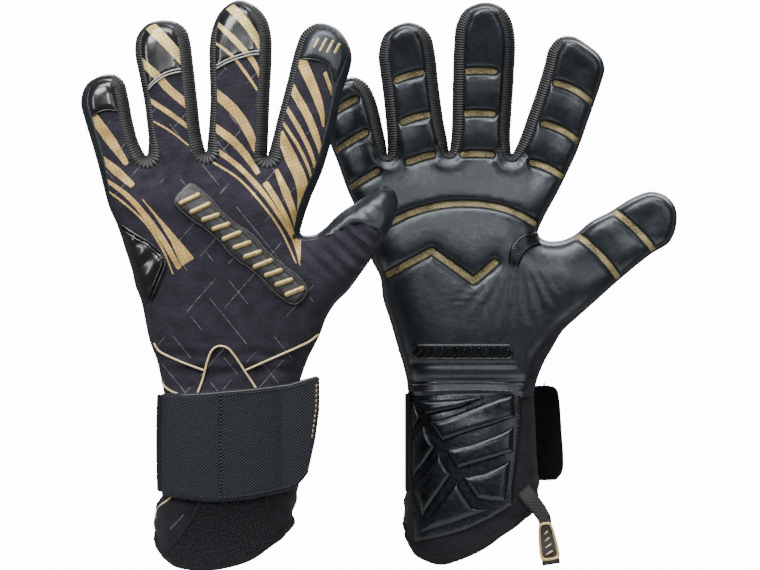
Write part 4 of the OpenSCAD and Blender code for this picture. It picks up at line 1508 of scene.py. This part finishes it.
# ---------------------------------------------------------------- trims of the hand
def badge(glove):
    """a raised plate with a plain row of slanted bars"""
    a, b = np.array([-22.6, 94.6]), np.array([33.6, 45])
    length = np.linalg.norm(b - a)
    way = (b - a) / length
    side = np.array([-way[1], way[0]])

    def at(t, u):
        return a + way * t + side * u

    def plate(half):
        return spline([at(t, u) for t, u in half] + [at(t, -u) for t, u in half[::-1]], 0.7, closed=True)[0]

    half = [(-3.4, 3.8), (-2.4, 6.4), (0, 7.0), (12, 7.0), (15.5, 6.2), (30, 6.2), (33, 7.0), (43, 7.0),
            (46, 6.2), (61, 6.2), (64, 6.8), (length - 3, 6.6), (length + 1.5, 5.2), (length + 3, 2.4)]
    outer = plate(half)
    inner = plate([(max(t + 1.7, -1.6) if t < 8 else min(t, length + 1), u - 3.0) for t, u in half])
    obj = relief(glove, "badge_plate", outer, 0.3, 2.4, 1.1, M["black"], False, "badge_rubber", step=0.7)
    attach(obj, glove.name("hand"))
    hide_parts(glove.name("knuckle_badge"))
    obj = relief(glove, "badge_field", inner, 2.3, 2.75, 0.4, M["grey"], False, "badge_rubber", step=0.7)
    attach(obj, glove.name("hand"))
    edge = resample(outer + (inner.mean(axis=0) - outer) * 0.012, 0.8)
    line = on_hand(glove, np.vstack([edge, edge[:1]]), 2.0)
    obj = tube(glove, "badge_line", line, 0.17, M["thread"], "badge_rubber", 6)
    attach(obj, glove.name("hand"))
    count = 11
    for i in range(count):
        t = 2.6 + i * (length - 5.4) / (count - 1)
        tall = 4.4 if i < 2 else (3.3, 3.8, 3.3)[i % 3]
        line = [at(t - 1.9, -tall), at(t, 0), at(t + 1.9, tall)]
        obj = relief(glove, f"badge_bar_{i + 1}", capsule(line, 2.6), 2.7, 4.1, 1.1, M["gold"], False,
                     "badge_rubber", step=0.6)
        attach(obj, glove.name("hand"))


def cap_piping(glove):
    """double cords along the lower edge of each leather cap, and round the side patch"""
    border = glove.border(1, 1.5)
    for finger in FINGERS:
        line, _ = spline(CAPS[finger], 0.7)
        line = line[inside(line, border)]
        double = finger in ("ring", "middle")
        for k, shift in enumerate((0.75, -0.75) if double else (0.0,)):
            obj = tube(glove, f"{finger}_cap_cord_{k + 1}", on_hand(glove, line + [0, shift], 0.85), 0.42,
                       M["grey_piping" if double else "leather"], "leather_trim", 6)
            glove.bind(obj, finger + "_upper")
    line, _ = spline([(-58.5, 81.5), (-49, 75), (-41, 70), (-35.5, 65), (-33.8, 60.5), (-36.5, 53),
                      (-41, 42)], 0.8)
    for k, off in enumerate((0.9, -0.9)):
        path = line + normals(line)[0] * off
        obj = tube(glove, f"side_patch_cord_{k + 1}", on_hand(glove, path[inside(path, border)], 1.0), 0.5,
                   M["leather"], "leather_trim", 6)
        glove.bind(obj, "hand")


def finger_mark(glove):
    """four small gold bars on the index cap"""
    centre = FORM[glove.side]["index"][4] - 11.5
    for i, (u, tall) in enumerate(((-5.2, 2.2), (-1.6, 3.1), (2.0, 3.1), (5.6, 2.2))):
        line = [glove.on_finger("index", centre - tall, u - tall / 4),
                glove.on_finger("index", centre + tall, u + tall / 4)]
        loop = capsule(resample(line, 1.0, closed=False), 2.0)
        obj = relief(glove, f"index_mark_{i + 1}", loop, 0.9, 1.9, 0.9, M["gold"], False,
                     "gold_trim", step=0.6)
        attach(obj, glove.name("index_upper"))


def heel_patch(glove):
    """an embossed bar on the heel of the palm, with plain slanted marks"""
    def on_foam(_, x, z):
        return hand_depth(glove, x, z, True) + FOAM + 1.1

    x0, x1, z0, z1, middle, r = -29, 22, 12.2, 20.6, 16.4, 2.8
    corner = [(x1 - r, z1 - r, 0), (x0 + r, z1 - r, 90), (x0 + r, z0 + r, 180), (x1 - r, z0 + r, 270)]
    loop = [(cx + r * math.cos(math.radians(a + k)), cz + r * math.sin(math.radians(a + k)))
            for cx, cz, a in corner for k in (0, 30, 60, 90)]
    obj = relief(glove, "heel_patch", loop, -0.3, 0.9, 0.9, M["guard"], True, "palm_latex", on_foam)
    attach(obj, glove.name("hand"))
    ring = resample([(x * 0.97 - 0.1, middle + (z - middle) * 0.76) for x, z in loop], 0.8)
    ring = np.vstack([ring, ring[:1]])
    line = np.column_stack([ring, on_foam(glove, ring[:, 0], ring[:, 1]) + 0.9])
    obj = tube(glove, "heel_patch_line", line, 0.3, M["leather"], "palm_latex", 6)
    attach(obj, glove.name("hand"))
    for i in range(13):
        cx = -25.5 + i * 3.7
        tall = 1.9 if i % 3 else 1.2
        line = resample([(cx - 0.7, middle - tall), (cx + 0.7, middle + tall)], 0.9, closed=False)
        obj = relief(glove, f"heel_mark_{i + 1}", capsule(line, 1.3), 0.8, 1.6, 0.6, M["guard"], True,
                     "palm_latex", on_foam, 0.6)
        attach(obj, glove.name("hand"))


def thumb_crotch_strip(glove):
    """the stitched tongue that reinforces the skin between thumb and palm"""
    def on_foam(_, x, z):
        return hand_depth(glove, x, z, True) + FOAM + 0.7

    dx = 0 if glove.side == "right" else -2
    line = [(35 + dx, 73.5), (29.5 + dx, 72.3), (24.3 + dx, 67.6), (21.8 + dx, 59.5)]
    loop = ribbon(line, (6.5, 8.2, 7.8, 5), 0.8)
    obj = relief(glove, "thumb_crotch_strip", loop, 0.0, 1.8, 1.3, M["guard"], True, "palm_latex",
                 on_foam)
    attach(obj, glove.name("hand"))
    inner = resample(ribbon(line, (4.4, 5.6, 5.2, 2.6), 0.8), 0.6)
    path = np.column_stack([inner, on_foam(glove, inner[:, 0], inner[:, 1]) + 1.8])
    obj = bars(glove, "thumb_crotch_stitches", stitches(path, 1.5, 0.9), 0.22, M["black_thread"],
               "palm_latex")
    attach(obj, glove.name("hand"))


# ---------------------------------------------------------------- pull tab
# where it hangs: across and up, how deep, and its lean in degrees; and how its webbing bends on the way
PULL = {"left": ((22, -45), 29.0, -35, 8), "right": ((31.5, -56), 19.0, 27, -18)}
# the sewn root of its webbing: how far up from the pivot, and how far in
PULL_ROOT = {"left": (9.5, 13.5), "right": (7, 6.5)}
# the webbing's cross-section: across, and through its thickness
WEB_RING = [(-1, 0), (-0.97, 0.5), (-0.6, 0.5), (0, 0.5), (0.6, 0.5), (0.97, 0.5), (1, 0),
            (0.97, -0.5), (0.6, -0.5), (0, -0.5), (-0.6, -0.5), (-0.97, -0.5)]
TAG = [(-2.4, 14.6), (2.4, 14.6), (3.2, 15.6), (4.9, 32), (4.1, 33.4), (-4.1, 33.4), (-4.9, 32),
       (-3.2, 15.6)]


def pull(glove):
    """a short strap of webbing with a rubber tag; u is across it, v down it and w off it"""
    (x0, z0), p0, lean, turn = PULL[glove.side]
    a, bend = math.radians(lean), math.radians(turn)
    knee = 13

    def at(u, v, w):
        if v > knee:
            u, v = (u * math.cos(bend) + (v - knee) * math.sin(bend),
                    knee + (v - knee) * math.cos(bend) - u * math.sin(bend))
        return (x0 + u * math.cos(a) + v * math.sin(a), z0 + u * math.sin(a) - v * math.cos(a), p0 + w)

    def strip(name, stops, thick):
        line, _ = spline(stops, 0.9)
        places = [at(u + half * cu, v, w + thick * cw) for v, u, half, w in line for cu, cw in WEB_RING]
        uv = np.array([(v, k * 0.9) for v, _, _, _ in line for k in range(len(WEB_RING))])
        return make(glove, name, np.array(places), tube_faces(len(line), len(WEB_RING)), [M["webbing"]],
                    uvs=uv, flip=glove.sign > 0, slot="webbing")

    up, deep = PULL_ROOT[glove.side]
    obj = strip("pull_webbing", [(-up, -2.8, 4.2, -deep), (-0.6 * up, -2.6, 4.2, -0.42 * deep),
                                 (0, -1.8, 4.1, -0.4), (6, -0.4, 3.8, 0.3),
                                 (12, 0.3, 3.4, 0.5), (18, 0, 3.0, 0.4), (26, 0, 2.8, 0.2)], 1.5)
    glove.name("cuff")
    glove.name("pull")
    glove.world(*at(0, -2, 0))
    glove.world(*at(0, 8, 0))
    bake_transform(obj)
    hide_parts(glove.name("pull_loop"))
    obj = strip("pull_end", [(30, 0, 3.8, 0.2), (34.8, 0, 4.6, 0.2), (36, 0, 4.5, 0.2)], 1.8)
    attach(obj, glove.name("pull"))
    outer = resample(spline(TAG, 0.7, closed=True)[0], 0.7)
    centre = outer.mean(axis=0)
    n = len(outer)

    def ring(t, down, w):
        return [at(u, v, w) for u, v in centre + (outer - centre) * [t, down]]

    rings = [ring(1.0, 1.0, -0.9), ring(1.0, 1.0, 1.0), ring(0.93, 0.93, 1.9)]
    rings += [ring(t, 1 - (1 - t) * 0.55, w) for t, w in ((0.83, 1.9), (0.76, 1.3), (0.70, 1.0))]
    faces = grid_faces(len(rings), n, wrap=True) + [tuple(range(n))]
    obj = make(glove, "pull_frame", np.vstack(rings), faces, [M["gold"]],
               uvs=np.array([(k * 0.7, i) for i in range(len(rings)) for k in range(n)]),
               flip=glove.sign > 0, slot="tag_rubber")
    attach(obj, glove.name("pull"))
    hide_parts(glove.name("pull_tag"))
    pts = ring(0.71, 1 - 0.29 * 0.55, 1.05) + [at(*centre, 1.25)]
    obj = make(glove, "pull_field", np.array(pts), [(k, (k + 1) % n, n) for k in range(n)], [M["black"]],
               flip=glove.sign > 0, slot="tag_rubber")
    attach(obj, glove.name("pull"))
    marks = []
    for i in range(4):
        v, half = 19.5 + i * 3.4, 1.0 + 0.35 * i
        marks.append((at(-half, v + 1.0, 1.5), at(half, v - 0.6, 1.5)))
    obj = bars(glove, "pull_marks", marks, 0.5, M["gold"], "tag_rubber")
    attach(obj, glove.name("pull"))


PARTS = (palm_pads, back_panels, rims, sleeve, strap, loop_field, guard, wrist_seams, cords, badge,
         cap_piping, finger_mark, heel_patch, thumb_crotch_strip, pull)
for glove in GLOVES.values():
    for build in PARTS:
        build(glove)


# ---------------------------------------------------------------- stage, light and camera
def stage():
    bpy.ops.mesh.primitive_circle_add(vertices=64, radius=0.24, fill_type="NGON",
                                      location=(0.075, 0.046, -0.0144))
    floor = bpy.context.object
    floor.data.transform(Matrix.Diagonal((1, 0.4, 1, 1)))
    floor.name = "floor"
    floor.data.materials.append(material("floor_white", (0.86, 0.86, 0.86), 0.9))


def light(name, where, towards, size, power):
    data = bpy.data.lights.new(name, "AREA")
    data.shape = "RECTANGLE"
    data.size, data.size_y = size
    data.energy = power
    obj = bpy.data.objects.new(name, data)
    obj.location = where
    obj.rotation_euler = (Vector(towards) - Vector(where)).to_track_quat("-Z", "Y").to_euler()
    bpy.context.scene.collection.objects.link(obj)


def sky():
    """an even white surrounding: bright where the camera sees it, dim as a light"""
    world = bpy.data.worlds.new("world")
    world.use_nodes = True
    nodes, links = world.node_tree.nodes, world.node_tree.links
    dim, bright = nodes["Background"], nodes.new("ShaderNodeBackground")
    for node, strength in ((dim, 0.16), (bright, 14.0)):
        node.inputs["Color"].default_value = (1, 1, 1, 1)
        node.inputs["Strength"].default_value = strength
    either = nodes.new("ShaderNodeMixShader")
    for out, into in ((nodes.new("ShaderNodeLightPath").outputs["Is Camera Ray"], either.inputs[0]),
                      (dim.outputs[0], either.inputs[1]), (bright.outputs[0], either.inputs[2]),
                      (either.outputs[0], nodes["World Output"].inputs["Surface"])):
        links.new(out, into)
    bpy.context.scene.world = world


def camera():
    data = bpy.data.cameras.new("camera")
    data.lens = 900
    data.sensor_width = 36
    data.clip_start, data.clip_end = 0.1, 60
    obj = bpy.data.objects.new("camera", data)
    centre = Vector((0.074, 0.038, 0.130))
    reach = 0.380 * data.lens / data.sensor_width
    obj.location = centre + Vector((0, -reach, 0))
    obj.rotation_euler = (math.pi / 2, 0, 0)
    bpy.context.scene.collection.objects.link(obj)
    bpy.context.scene.camera = obj


stage()
light("key", (-0.55, -1.1, 1.2), (0.07, 0, 0.12), (0.8, 0.6), 30)
light("top", (0.1, -0.25, 1.3), (0.07, 0, 0.12), (1.2, 0.5), 23)
light("side", (-1.3, -0.9, 0.35), (0.05, 0, 0.15), (0.35, 0.9), 9)
light("fill", (1.1, -1.0, 0.4), (0.1, 0, 0.12), (0.8, 0.8), 5)
light("front", (0.25, -1.7, 0.7), (0.1, 0, 0.14), (0.4, 0.25), 5.5)
light("back", (0.3, 1.3, 0.9), (0.07, 0.09, 0.14), (1.2, 0.8), 10)
sky()
camera()
